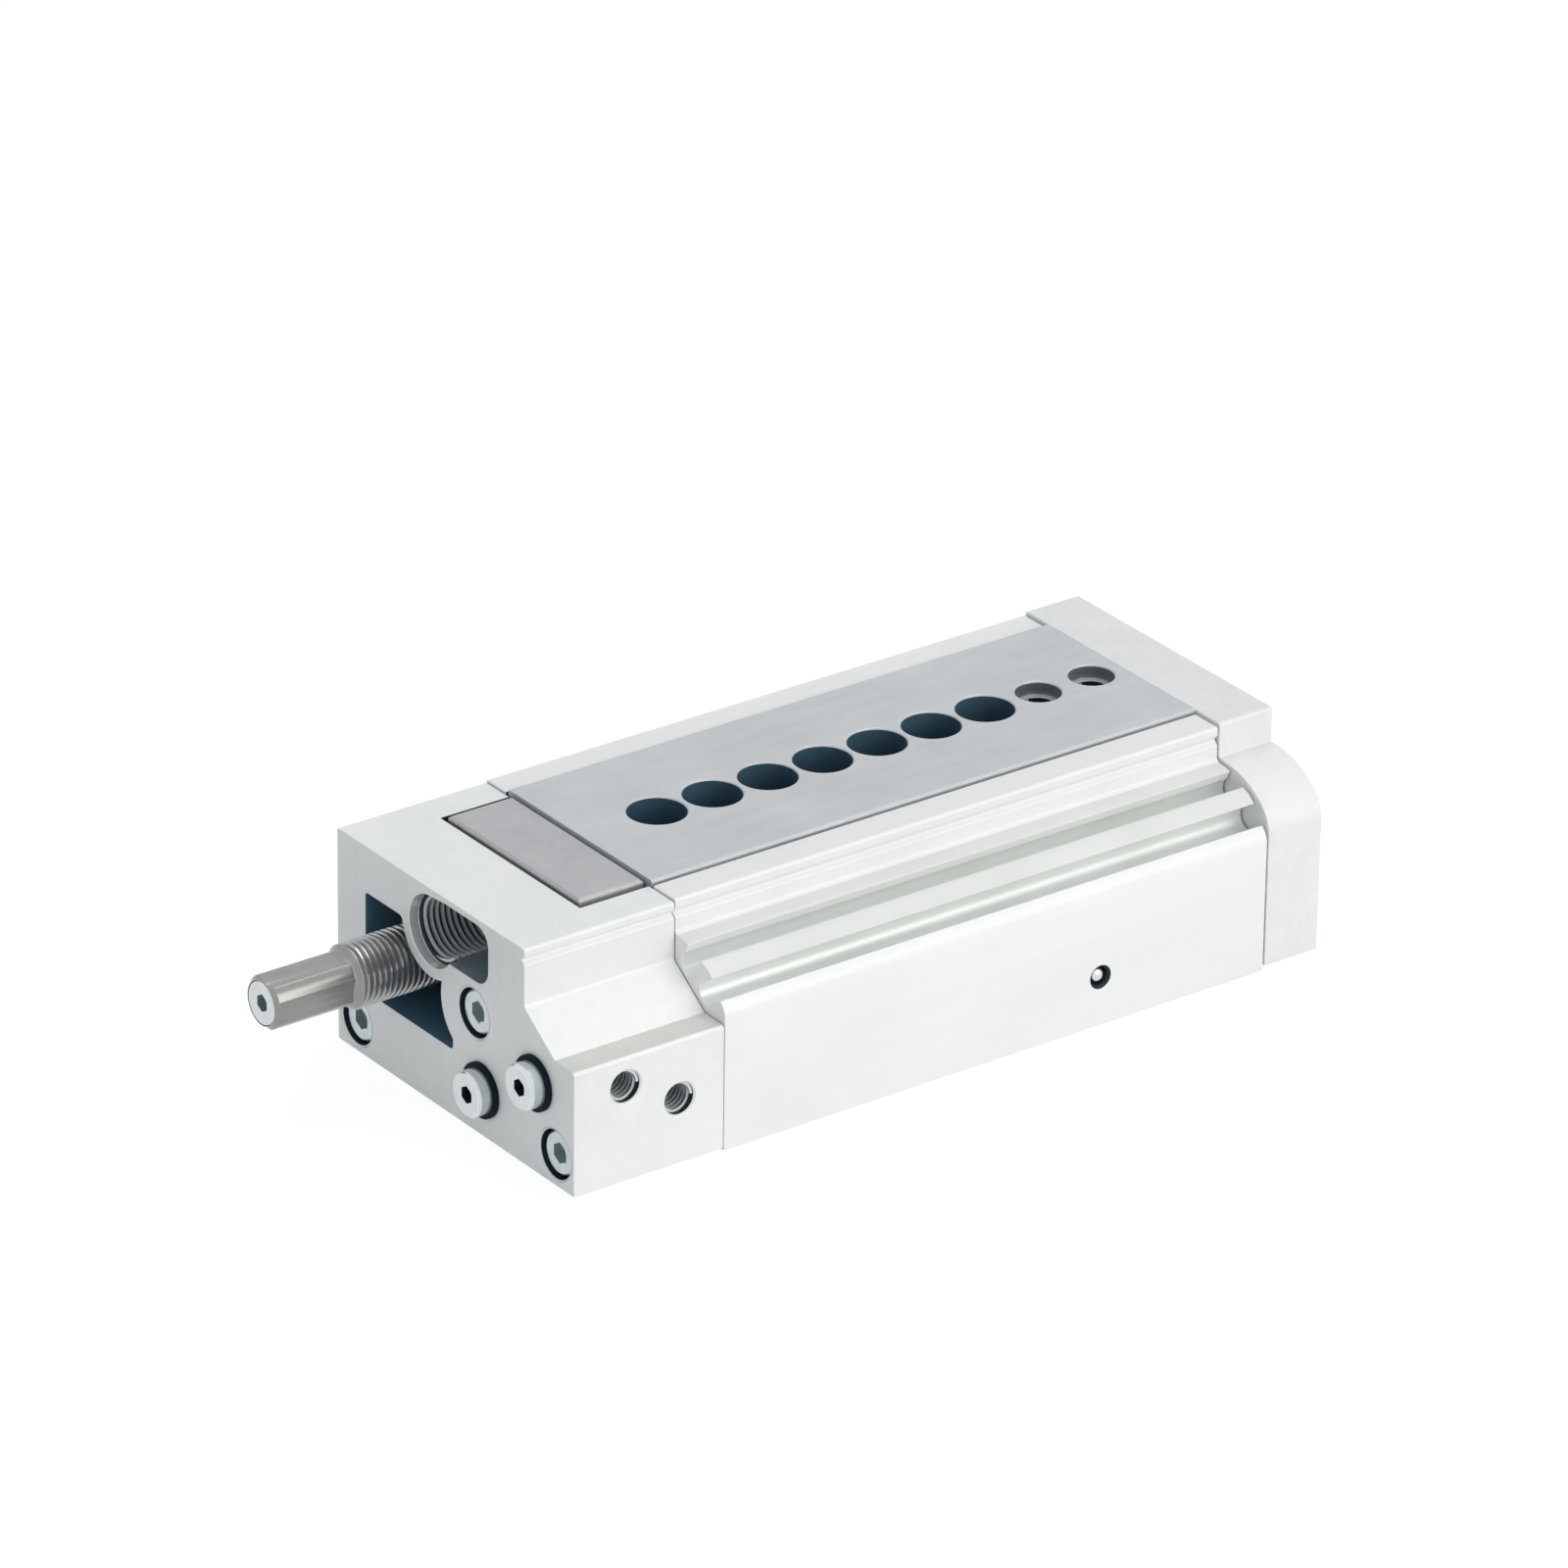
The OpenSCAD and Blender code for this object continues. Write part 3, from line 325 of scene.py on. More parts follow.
def prism(outline, x0, x1):
    # a solid with the outline (y, z) and its ends at x0 and x1
    shape = bmesh.new()
    rear = [shape.verts.new(Vector((x0, *p)) * mm) for p in outline]
    front = [shape.verts.new(Vector((x1, *p)) * mm) for p in outline]
    shape.faces.new(rear)
    shape.faces.new(front[::-1])
    for k in range(len(outline)):
        j = (k + 1) % len(outline)
        shape.faces.new((rear[k], front[k], front[j], rear[j]))
    bmesh.ops.recalc_face_normals(shape, faces=shape.faces)
    return shape


def combine(shape, other, operation):
    # joins the other shape to this one, or cuts it out
    whole = bpy.data.objects.new("whole", bpy.data.meshes.new("whole"))
    part = bpy.data.objects.new("part", bpy.data.meshes.new("part"))
    shape.to_mesh(whole.data)
    other.to_mesh(part.data)
    other.free()
    for piece in (whole, part):
        scene.collection.objects.link(piece)
    join = whole.modifiers.new("Join", "BOOLEAN")
    join.operation = operation
    join.solver = "EXACT"
    join.object = part
    result = bpy.data.meshes.new_from_object(whole.evaluated_get(bpy.context.evaluated_depsgraph_get()))
    shape.clear()
    shape.from_mesh(result)
    bpy.data.meshes.remove(result)
    for piece in (whole, part):
        bpy.data.objects.remove(piece)
    return shape


filletLook = {"into": 0.2, "steps": 8}


def filletAlongX(shape, x0, x1, corners):
    # fills each inner corner (y, z, way in y, way in z, radius) with a concave fillet that runs along X
    into, steps = filletLook["into"], filletLook["steps"]
    for y, z, sy, sz, r in corners:
        outline = [(y - into * sy, z - into * sz), (y + r * sy, z - into * sz)]
        for k in range(steps + 1):
            turn = math.pi / 2 * k / steps
            outline.append((y + sy * r * (1 - math.sin(turn)), z + sz * r * (1 - math.cos(turn))))
        outline.append((y - into * sy, z + r * sz))
        combine(shape, prism(outline, x0, x1), "UNION")
    return shape


def refill(shape, x):
    # the flat end at x is filled again from its outlines alone
    old = [face for face in shape.faces if all(abs(v.co.x - x * mm) < touchWithin for v in face.verts)]
    rim = [edge for edge in shape.edges if sum(face in old for face in edge.link_faces) == 1]
    bmesh.ops.delete(shape, geom=old, context="FACES")
    bmesh.ops.triangle_fill(shape, use_beauty=True, edges=rim, normal=(1, 0, 0))
    bmesh.ops.recalc_face_normals(shape, faces=shape.faces)
    return flatten(shape)


def offAxis(p, axis):
    return (p - axis * p.dot(axis)).length


rimSlack = (0.01, 0.03)    # how far a rim's corners may lie off its plane and its circle


def chamferRims(shape, rims, width):
    # a plain chamfer round each hole's mouth; a rim is (centre, axis, radius)
    offPlane, offCircle = rimSlack
    for centre, axis, radius in rims:
        centre = Vector(centre)
        axis = Vector(axis)
        edges = []
        for edge in shape.edges:
            ends = [v.co / mm - centre for v in edge.verts]
            if all(abs(p.dot(axis)) < offPlane and abs(offAxis(p, axis) - radius) < offCircle for p in ends):
                edges.append(edge)
        bmesh.ops.bevel(shape, geom=edges, offset=width * mm, segments=1, profile=0.5, affect="EDGES")


def shapeMesh(name, shape):
    mesh = bpy.data.meshes.new(name)
    shape.verts.index_update()
    mesh.from_pydata([v.co[:] for v in shape.verts], [], [[v.index for v in f.verts] for f in shape.faces])
    shape.free()
    return mesh


def easeEdges(piece, look):
    piece.data.shade_smooth()
    piece.data.set_sharp_from_angle(angle=math.radians(look["sharp"]))
    ease = piece.modifiers.new("EasedEdges", "BEVEL")
    ease.width = look["ease"] * mm
    ease.segments = look["steps"]
    ease.limit_method = "ANGLE"
    ease.angle_limit = math.radians(look["sharp"])
    ease.use_clamp_overlap = False
    ease.harden_normals = True


def seat(piece, source, replace=True):
    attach(piece, nodes[source]["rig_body"])
    if replace:
        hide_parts(source)


def settle(piece, source):
    # the eased skin becomes a plain mesh and is kept inside the box of the part it stands for
    skin = bpy.data.meshes.new_from_object(piece.evaluated_get(bpy.context.evaluated_depsgraph_get()))
    piece.modifiers.clear()
    piece.data = skin
    skin.name = piece.name
    corners = [vertex.co for vertex in nodes[source].data.vertices]
    low = [min(corner[k] for corner in corners) for k in range(3)]
    high = [max(corner[k] for corner in corners) for k in range(3)]
    for vertex in skin.vertices:
        vertex.co = [min(max(vertex.co[k], low[k]), high[k]) for k in range(3)]


def addEased(name, source, shape, look, region=None):
    # region names, for a face centre in millimetres, the finish that stands in for the main one
    piece = bpy.data.objects.new(name, shapeMesh(name, shape))
    scene.collection.objects.link(piece)
    used = [finishOf[source]]
    piece.data.materials.append(finishes[used[0]])
    for face in piece.data.polygons:
        other = region(face.center / mm) if region else None
        if other and other not in used:
            used.append(other)
            piece.data.materials.append(finishes[other])
        face.material_index = used.index(other) if other else 0
    easeEdges(piece, look)
    settle(piece, source)
    if "seam" in look:
        # the fine shadow where the two bodies meet
        piece.data.materials.append(finishes["seamShade"])
        for face in piece.data.polygons:
            away = abs(face.center.x / mm - look["seam"])
            if away < look["ease"] and abs(face.normal.x) < look["seamTurn"]:
                face.material_index = len(used)
    seat(piece, source)


# which finish a face takes goes by where its middle lies
def within(p, room):
    return all(low < value < high for value, (low, high) in zip(p, room))


def beside(a, b, places, reach):
    return any(math.hypot(a - placeA, b - placeB) < reach for placeA, placeB in places)


guideY = 6.4
housingLook = {"ease": 0.15, "steps": 2, "sharp": 26,
               "channel": ((-49.5, 49.5), (guideY - 22, guideY + 22), (23, 35.3)),
               "duct": (18.8, 8.0), "ductBore": 1.5, "ductRim": 0.4, "ductMouth": 1.95,
               "ductDepth": (-29.97, -25),
               "slots": [(-21.19, 26.3), (-25.54, 23.68)], "slotBore": 1.95, "slotSlack": 0.06,
               "shelves": [(-25.98, 27.11), (-24.65, 27.85), (-19.46, 29.7)], "shelfHalf": 0.2}


def housingRegion(p):
    # painted shade: the slide's channel and the duct's mouth are painted dark, and the slots and the shelves
    # darker
    look = housingLook
    if within(p, look["channel"]):
        return "shadedChannel"
    skin, depth = look["ductDepth"]
    if skin < p.y < depth and beside(p.x, p.z, [look["duct"]], look["ductMouth"]):
        return "threadRoot"
    slack = look["slotSlack"]
    if any(abs(math.hypot(p.y - y, p.z - z) - look["slotBore"]) < slack for y, z in look["slots"]):
        return "slotShade"
    if beside(p.y, p.z, look["shelves"], look["shelfHalf"]):
        return "shelfAluminium"
    return None


housingShape = flatten(mergedShape("housing"))
ductX, ductZ = housingLook["duct"]
chamferRims(housingShape, [((ductX, -30, ductZ), (0, 1, 0), housingLook["ductBore"])], housingLook["ductRim"])
addEased("housing_body", "housing", housingShape, housingLook, housingRegion)

capLook = {"ease": 0.15, "steps": 2, "sharp": 26, "seam": -49.6, "seamTurn": 0.99, "rear": -76.0,
           "filletTo": -62.0,
           "corners": [(22.7, 27.5, -1, -1, 0.6), (22.7, 11.3, -1, 1, 0.8), (0.4, 11.3, 1, 1, 0.7),
                       (13.2, 27.5, 1, -1, 0.9)],
           "ledge": (-25, 20.3), "stop": (5.9, 28.1), "stopRing": 7.2,
           "stopThread": 5.1, "threadDepth": (-74.3, -61.7), "stopLead": 5.65, "leadDepth": (-75.9, -74.25),
           "recess": ((-75.9, -66.9), (-8.6, 2.9), (24.7, 34.1)),
           "pocket": ((-61.9, -49.7), (-11.3, 24.1), (11.2, 34.8)),
           "window": ((-75.9, -49.7), (0.2, 22.9), (11.2, 27.7)),
           "screws": [(-4.8, 19.4), (-25.3, 5.4), (25.2, 5.4)], "screwBore": 4.3, "screwsFrom": -75.65,
           "ports": [(-66.9, 15.6), (-57.4, 10.8)], "portBore": 2.5, "portMouth": 2.6, "portRim": 0.35,
           "portsFrom": -29.95}


def capRegion(p):
    # each opening of the end cap has its own painted shade; eased edges outside them keep the main finish
    look = capLook
    fromStop = math.hypot(p.y - look["stop"][0], p.z - look["stop"][1])
    if p.y < look["ledge"][0] and p.z > look["ledge"][1]:
        return "ledgeShade"
    if look["threadDepth"][0] < p.x < look["threadDepth"][1] and fromStop < look["stopThread"]:
        return "threadRoot"
    if look["leadDepth"][0] < p.x < look["leadDepth"][1] and fromStop < look["stopLead"]:
        return "turnedBore"
    if within(p, look["recess"]):
        return "recessShade"
    if within(p, look["pocket"]):
        return "shadedChannel"
    if within(p, look["window"]) and fromStop > look["stopRing"]:
        return "windowShade"
    if p.x > look["screwsFrom"] and beside(p.y, p.z, look["screws"], look["screwBore"]):
        return "threadRoot"
    if p.y > look["portsFrom"] and beside(p.x, p.z, look["ports"], look["portMouth"]):
        return "threadRoot"
    return None


def block(y0, y1, z0, z1):
    return [(y0, z0), (y1, z0), (y1, z1), (y0, z1)]


# the recess beside the stop hole runs on to the crown of the hole
crown = [(2.5, 31.0), (6.0, 31.0), (6.0, 33.69), (2.5, 33.99)]
capShape = filletAlongX(mergedShape("end_cap"), capLook["rear"], capLook["filletTo"], capLook["corners"])
combine(capShape, prism(crown, -77, -67), "DIFFERENCE")
bmesh.ops.remove_doubles(capShape, verts=capShape.verts, dist=mergeWithin)
flatten(capShape)
refill(capShape, capLook["rear"])
portRims = [((x, -30, z), (0, 1, 0), capLook["portBore"]) for x, z in capLook["ports"]]
chamferRims(capShape, portRims, capLook["portRim"])
addEased("cap_body", "end_cap", capShape, capLook, capRegion)

slideLook = {"ease": 0.12, "steps": 2, "sharp": 26, "top": 36, "rim": 0.22, "rimFoot": 35.7,
             "largeHoles": [(24.3 - 10 * k, guideY) for k in range(7)], "largeBore": 4.5, "largeReach": 4.6,
             "smallHoles": [(44.3, guideY), (34.3, guideY)], "seatBore": 3.5, "seatWall": (3.3, 3.6),
             "seatFrom": 33.9, "tapReach": 2.6, "tapTo": 33.6}


def slideRegion(p):
    # painted shade in the large holes, the tapped holes and the walls of their seats
    look = slideLook
    if p.z > look["rimFoot"]:
        return None
    if beside(p.x, p.y, look["largeHoles"], look["largeReach"]):
        return "darkBore"
    for x, y in look["smallHoles"]:
        away = math.hypot(p.x - x, p.y - y)
        if away < look["tapReach"] and p.z < look["tapTo"]:
            return "threadRoot"
        if look["seatWall"][0] < away < look["seatWall"][1] and p.z > look["seatFrom"]:
            return "holeShade"
    return None


slideShape = flatten(mergedShape("slide"))
for holes, bore in (("largeHoles", "largeBore"), ("smallHoles", "seatBore")):
    rims = [((x, y, slideLook["top"]), (0, 0, 1), slideLook[bore]) for x, y in slideLook[holes]]
    chamferRims(slideShape, rims, slideLook["rim"])
addEased("slide_body", "slide", slideShape, slideLook, slideRegion)

yokeLook = {"ease": 0.2, "steps": 2, "sharp": 26}
addEased("yoke_body", "yoke_plate", flatten(mergedShape("yoke_plate")), yokeLook)

blockLook = {"ease": 0.22, "steps": 3, "sharp": 26}
addEased("block_body", "stop_block", flatten(mergedShape("stop_block")), blockLook)
print("eased pieces made")


# turned pieces: rings of points along X, joined into a closed skin
def hexRing(across):
    return lambda turn: across / 2 / math.cos((turn + math.pi / 6) % (math.pi / 3) - math.pi / 6)


def squareRing(across, radius):
    return lambda turn: min(radius, across / 2 / max(abs(math.cos(turn)), abs(math.sin(turn))))


def evenTurns(count):
    return [2 * math.pi * k / count for k in range(count)]


screwTurns = evenTurns(96)


def turnedMesh(name, rings, turns=screwTurns, innerRings=3):
    # each ring is (x, radius or a function of the angle); the first and last rings close on a point,
    # and faces between the last innerRings rings are marked as the inside of a socket
    points = []
    faces = []
    for x, radius in rings:
        for turn in turns:
            r = radius(turn) if callable(radius) else radius
            points.append((x * mm, r * math.cos(turn) * mm, r * math.sin(turn) * mm))
    around = len(turns)
    for k in range(len(rings) - 1):
        for j in range(around):
            i = (j + 1) % around
            faces.append((k * around + j, k * around + i, (k + 1) * around + i, (k + 1) * around + j))
    shape = bmesh.new()
    inner = shape.faces.layers.bool.new("inner")
    made = [shape.verts.new(p) for p in points]
    for count, face in enumerate(faces):
        shape.faces.new([made[k] for k in face])[inner] = count >= (len(rings) - innerRings) * around
    bmesh.ops.remove_doubles(shape, verts=shape.verts, dist=touchWithin)
    bmesh.ops.recalc_face_normals(shape, faces=shape.faces)
    mesh = bpy.data.meshes.new(name)
    shape.to_mesh(mesh)
    shape.free()
    mesh.shade_smooth()
    mesh.set_sharp_from_angle(angle=turnedSharp)
    return mesh


# node trees: copies of a shape at given points, and threads
def makeCopies():
    # puts the shape on every point of the piece, turned by Turn
    tree, start, end = makeGroup("shapeCopies", "GeometryNodeTree",
                                 [("Geometry", "Geometry", None), ("Shape", "Object", None),
                                  ("Turn", "Vector", (0, 0, 0)), ("Finish", "Material", None),
                                  ("Inner finish", "Material", None)],
                                 [("Geometry", "Geometry")])
    shape = addNode(tree, "GeometryNodeObjectInfo")
    inner = addNode(tree, "GeometryNodeInputNamedAttribute", {"Name": "inner"}, data_type="BOOLEAN")
    innerFinish = addNode(tree, "GeometryNodeSetMaterial")
    copies = addNode(tree, "GeometryNodeInstanceOnPoints")
    plain = addNode(tree, "GeometryNodeRealizeInstances")
    finish = addNode(tree, "GeometryNodeSetMaterial")
    wire(tree, ((start, "Shape", shape, "Object"),
                (start, "Geometry", copies, "Points"),
                (shape, "Geometry", copies, "Instance"),
                (start, "Turn", copies, "Rotation"),
                (copies, "Instances", plain, "Geometry"),
                (plain, "Geometry", finish, "Geometry"),
                (start, "Finish", finish, "Material"),
                (finish, "Geometry", innerFinish, "Geometry"),
                (inner, "Attribute", innerFinish, "Selection"),
                (start, "Inner finish", innerFinish, "Material"),
                (innerFinish, "Geometry", end, "Geometry")))
    return tree


def makeThread():
    # a helical tooth on every point of the piece; a negative Depth gives an outside thread
    tree, start, end = makeGroup("helixThread", "GeometryNodeTree",
                                 [("Geometry", "Geometry", None),
                                  ("Radius", "Float", 0.0025), ("Depth", "Float", 0.0004),
                                  ("Pitch", "Float", 0.0008), ("Length", "Float", 0.006),
                                  ("Flat", "Float", 0.12), ("Foot", "Float", 0.7),
                                  ("Facets", "Int", 40), ("Turn", "Vector", (0, 0, 0)),
                                  ("Finish", "Material", None)],
                                 [("Geometry", "Geometry")])

    def reckon(operation, a, b):
        return addNode(tree, "ShaderNodeMath", {0: a, 1: b}, operation=operation).outputs["Value"]

    def point(x, y):
        return addNode(tree, "ShaderNodeCombineXYZ", {"X": x, "Y": y}).outputs["Vector"]

    turns = reckon("DIVIDE", start.outputs["Length"], start.outputs["Pitch"])
    wide = reckon("MULTIPLY", start.outputs["Pitch"], reckon("MULTIPLY", start.outputs["Foot"], 0.5))
    narrow = reckon("MULTIPLY", start.outputs["Pitch"], reckon("MULTIPLY", start.outputs["Flat"], 0.5))
    deep = start.outputs["Depth"]
    helix = addNode(tree, "GeometryNodeCurveSpiral", {"Rotations": turns})
    upright = addNode(tree, "GeometryNodeSetCurveNormal", mode="Z_UP")
    tooth = addNode(tree, "GeometryNodeCurvePrimitiveQuadrilateral",
                    {"Point 1": point(0.0, wide), "Point 2": point(deep, narrow),
                     "Point 3": point(deep, reckon("MULTIPLY", narrow, -1.0)),
                     "Point 4": point(0.0, reckon("MULTIPLY", wide, -1.0))}, mode="POINTS")
    sweep = addNode(tree, "GeometryNodeCurveToMesh", {"Fill Caps": True})
    smooth = addNode(tree, "GeometryNodeSetShadeSmooth", {"Shade Smooth": False})
    copies = addNode(tree, "GeometryNodeInstanceOnPoints")
    plain = addNode(tree, "GeometryNodeRealizeInstances")
    finish = addNode(tree, "GeometryNodeSetMaterial")
    wire(tree, ((start, "Facets", helix, "Resolution"),
                (start, "Radius", helix, "Start Radius"),
                (start, "Radius", helix, "End Radius"),
                (start, "Length", helix, "Height"),
                (helix, "Curve", upright, "Curve"),
                (upright, "Curve", sweep, "Curve"),
                (tooth, "Curve", sweep, "Profile Curve"),
                (sweep, "Mesh", smooth, "Geometry"),
                (start, "Geometry", copies, "Points"),
                (smooth, "Geometry", copies, "Instance"),
                (start, "Turn", copies, "Rotation"),
                (copies, "Instances", plain, "Geometry"),
                (plain, "Geometry", finish, "Geometry"),
                (start, "Finish", finish, "Material"),
                (finish, "Geometry", end, "Geometry")))
    return tree


copiesTree = makeCopies()
threadTree = makeThread()


def grow(name, tree, places, values):
    # runs a tree once on bare points and keeps the result as a plain mesh
    mesh = bpy.data.meshes.new(name)
    mesh.from_pydata([Vector(place) * mm for place in places], [], [])
    piece = bpy.data.objects.new(name, mesh)
    scene.collection.objects.link(piece)
    sockets = {item.name: item.identifier for item in tree.interface.items_tree if item.in_out == "INPUT"}
    growth = piece.modifiers.new("Growth", "NODES")
    growth.node_group = tree
    for label, value in values.items():
        growth[sockets[label]] = value
    result = bpy.data.meshes.new_from_object(piece.evaluated_get(bpy.context.evaluated_depsgraph_get()))
    piece.modifiers.remove(growth)
    piece.data = result
    result.name = name
    return piece


def growCopies(name, source, mesh, look, inner="threadRoot", replace=True):
    # the shape looks along +X, and a look that faces the rear turns it round
    # a socket's inside takes painted shade unless another inner finish is given
    pattern = bpy.data.objects.new(name + "_pattern", mesh)
    scene.collection.objects.link(pattern)
    places = [(look["x"], y, z) for y, z in look["places"]]
    turn = (0, 0, math.pi if look["facesRear"] else 0)
    piece = grow(name, copiesTree, places, {"Shape": pattern, "Turn": turn, "Inner finish": finishes[inner],
                                            "Finish": finishes[finishOf[source]]})
    bpy.data.objects.remove(pattern)
    piece.data.set_sharp_from_angle(angle=turnedSharp)
    seat(piece, source, replace)


def faceOutwards(mesh):
    shape = bmesh.new()
    shape.from_mesh(mesh)
    if shape.calc_volume(signed=True) < 0:
        bmesh.ops.reverse_faces(shape, faces=shape.faces)
        shape.to_mesh(mesh)
    shape.free()


tapLook = {"radius": 2.51, "depth": 0.34, "pitch": 0.8, "flat": 0.12, "foot": 0.6, "facets": 40,
           "finish": "threadFlank", "crest": "threadCrest", "cuts": []}
crestSlack = 0.06


def growThread(name, ownLook):
    look = dict(tapLook, **ownLook)
    piece = grow(name, threadTree, look["places"],
                 {"Radius": look["radius"] * mm, "Depth": look["depth"] * mm, "Pitch": look["pitch"] * mm,
                  "Length": look["length"] * mm, "Flat": look["flat"], "Foot": look["foot"],
                  "Facets": look["facets"], "Turn": [math.radians(a) for a in look["turn"]],
                  "Finish": finishes[look["finish"]]})
    faceOutwards(piece.data)
    piece.data.shade_smooth()
    for outline, x0, x1 in look["cuts"]:
        shape = bmesh.new()
        shape.from_mesh(piece.data)
        combine(shape, prism(outline, x0, x1), "DIFFERENCE").to_mesh(piece.data)
        shape.free()
    # crest faces take the crest finish, a painted highlight against the shade painted on the flanks
    piece.data.materials.append(finishes[look["crest"]])
    axis = Vector(look["axis"])
    for face in piece.data.polygons:
        away = min(offAxis(face.center / mm - Vector(place), axis) for place in look["places"])
        if abs(away - look["radius"] + look["depth"]) < crestSlack:
            face.material_index = 1
    piece.data.set_sharp_from_angle(angle=turnedSharp)
    seat(piece, look["source"], replace=False)


# screws and plugs
# the bevelled rim of each counterbore; its last ring of faces is the wall behind the rim, painted dark as
# shade
rimLook = {"x": -76.0, "places": capLook["screws"], "facesRear": False, "outer": 4.09, "inner": 3.84,
           "mouth": 4.02, "ease": 0.26, "deep": 4.4}
rimRings = [(rimLook["deep"], rimLook["inner"]), (rimLook["deep"], rimLook["outer"]), (0, rimLook["outer"]),
            (0, rimLook["mouth"]), (rimLook["ease"], rimLook["inner"]), (rimLook["deep"], rimLook["inner"])]
growCopies("screw_rims", "end_cap", turnedMesh("screw_rim", rimRings, innerRings=2), rimLook, replace=False)


def socketRings(look):
    # the chamfered mouth, the flats and the drill point of a hexagon socket
    high, lip, flats = look["height"], look["lip"], hexRing(look["socket"])
    mouth = look["socket"] / 2 / math.cos(math.pi / 6) + lip
    floor = high - look["socketDeep"]
    return [(high, mouth), (high - lip, flats), (floor, flats), (floor - look["point"], 0.0)]


def screwRings(look):
    # from the tip of the shank to the point of the socket; under is where the head's bearing face lies
    head, high, ease, shank, reach = (look[key] for key in ("head", "height", "ease", "shank", "reach"))
    tip, heel, under = look["tip"], look["heel"], look["under"]
    rounding = [(high - back * ease, head - inwards * ease) for back, inwards in look["rounding"]]
    return [(-reach, 0.0), (-reach, shank - tip), (-reach + tip, shank), (under, shank), (under, head - heel),
            (under + heel, head)] + rounding + socketRings(look)


# the insides of sockets are darkened with painted shade
screwLook = {"head": 3.5, "height": 4.0, "ease": 0.35, "rounding": [(1, 0), (0.3, 0.4), (0, 1)], "heel": 0.15,
             "under": 0, "socket": 3.0, "socketDeep": 2.1, "lip": 0.15, "point": 0.4, "shank": 1.97,
             "tip": 0.35, "facesRear": False, "inner": "threadRoot"}
screwSets = [
    ("cap_screw_set", "cap_screws", {"x": -71.3, "places": capLook["screws"], "reach": 30.7, "ease": 0.45,
                                     "socketDeep": 2.0, "facesRear": True, "inner": "socketShade"}),
    ("yoke_screw_set", "yoke_screws", {"x": 55.6, "places": [(-4.6, 30.3), (17.4, 30.3)], "reach": 15.7}),
    ("rod_screw_set", "rod_screw", {"x": 55.6, "places": [(-13.7, 11.5)], "reach": 12.7}),
    ("block_screw_set", "block_screws", {"x": -57.0, "places": [(-3.6, 30.3), (16.4, 30.3)], "reach": 15.5,
                                         "facesRear": True}),
    ("channel_plug_set", "channel_plugs", {"x": -76.0, "places": [(-7.1, 8.0), (-20.3, 14.9)], "reach": 5.0,
                                           "head": 3.55, "height": 2.9, "ease": 0.4,
                                           "rounding": [(1, 0), (0, 0.75)], "heel": 0.12, "under": 0.6,
                                           "socket": 2.5, "socketDeep": 2.2, "lip": 0.12, "point": 0.3,
                                           "shank": 2.47, "tip": 0.4, "facesRear": True}),
]
for name, source, ownLook in screwSets:
    look = dict(screwLook, **ownLook)
    growCopies(name, source, turnedMesh(source + "_shape", screwRings(look)), look, look["inner"])
print("screws and plugs made")

# threads in the holes
aroundStop = block(0, 12, 22, 34)
threadLooks = {
    "stop_hole_thread": {"source": "end_cap", "places": [(-75.4, *capLook["stop"])], "turn": (0, 90, 0),
                         "axis": (1, 0, 0), "radius": 5.02, "depth": 0.4, "pitch": 1.0, "length": 14.8,
                         "foot": 0.5, "flat": 0.34, "facets": 72,
                         "cuts": [(aroundStop, -79, -74.2), (aroundStop, -61.85, -58),
                                  (block(-0.5, 2.8, 24.7, 34.1), -76, -67), (crown, -76, -67)]},
    "port_threads": {"source": "end_cap", "places": [(x, -29.25, z) for x, z in capLook["ports"]],
                     "turn": (-90, 0, 0), "axis": (0, 1, 0), "depth": 0.36, "length": 4.9, "foot": 0.48,
                     "flat": 0.28},
    "slide_threads": {"source": "slide", "places": [(x, y, 28.0) for x, y in slideLook["smallHoles"]],
                      "turn": (0, 0, 0), "axis": (0, 0, 1), "length": 5.4, "finish": "holeShade",
                      "crest": "threadFlank"},
    "yoke_threads": {"source": "yoke_plate", "places": [(50.4, y, z) for y in (-24, 24) for z in (6, 18)],
                     "turn": (0, 90, 0), "axis": (1, 0, 0), "length": 7.0},
    "base_threads": {"source": "housing", "places": [(x, y, 0.4) for x in (-25, 25) for y in (-25, 25)],
                     "turn": (0, 0, 0), "axis": (0, 0, 1), "length": 7.2},
}
for name, look in threadLooks.items():
    growThread(name, look)
print("threads made")

# shock absorber: spanner head with four flats, neck, and a helical outside thread
absorberLook = {"place": (15.5, 19.2), "x": -99.1, "long": 58.0, "headLong": 14.0, "head": 4.15, "flats": 7.3,
                "bore": 3.0, "boreDeep": 3.0, "mouth": 3.4, "mouthDeep": 1.2, "twist": 8, "groove": 3.95,
                "neck": 4.9, "root": 4.66, "crest": 4.98, "threadFrom": 15.3, "threadLong": 42.2,
                "noseBore": 1.5, "noseDeep": 6.0, "flatSteps": 8, "bandSteps": 10, "ease": 0.07, "steps": 2,
                "sharp": 24}


def absorberTurns(look):
    # even steps over each flat and each round, so that a step falls exactly on every corner
    corner = math.acos(look["flats"] / 2 / look["head"])
    onFlat, onBand = look["flatSteps"], look["bandSteps"]
    turns = []
    for quarter in range(4):
        base = quarter * math.pi / 2
        flat = [base - corner + 2 * corner * k / onFlat for k in range(onFlat + 1)]
        band = [base + corner + (math.pi / 2 - 2 * corner) * k / onBand for k in range(1, onBand)]
        turns += flat + band
    return turns


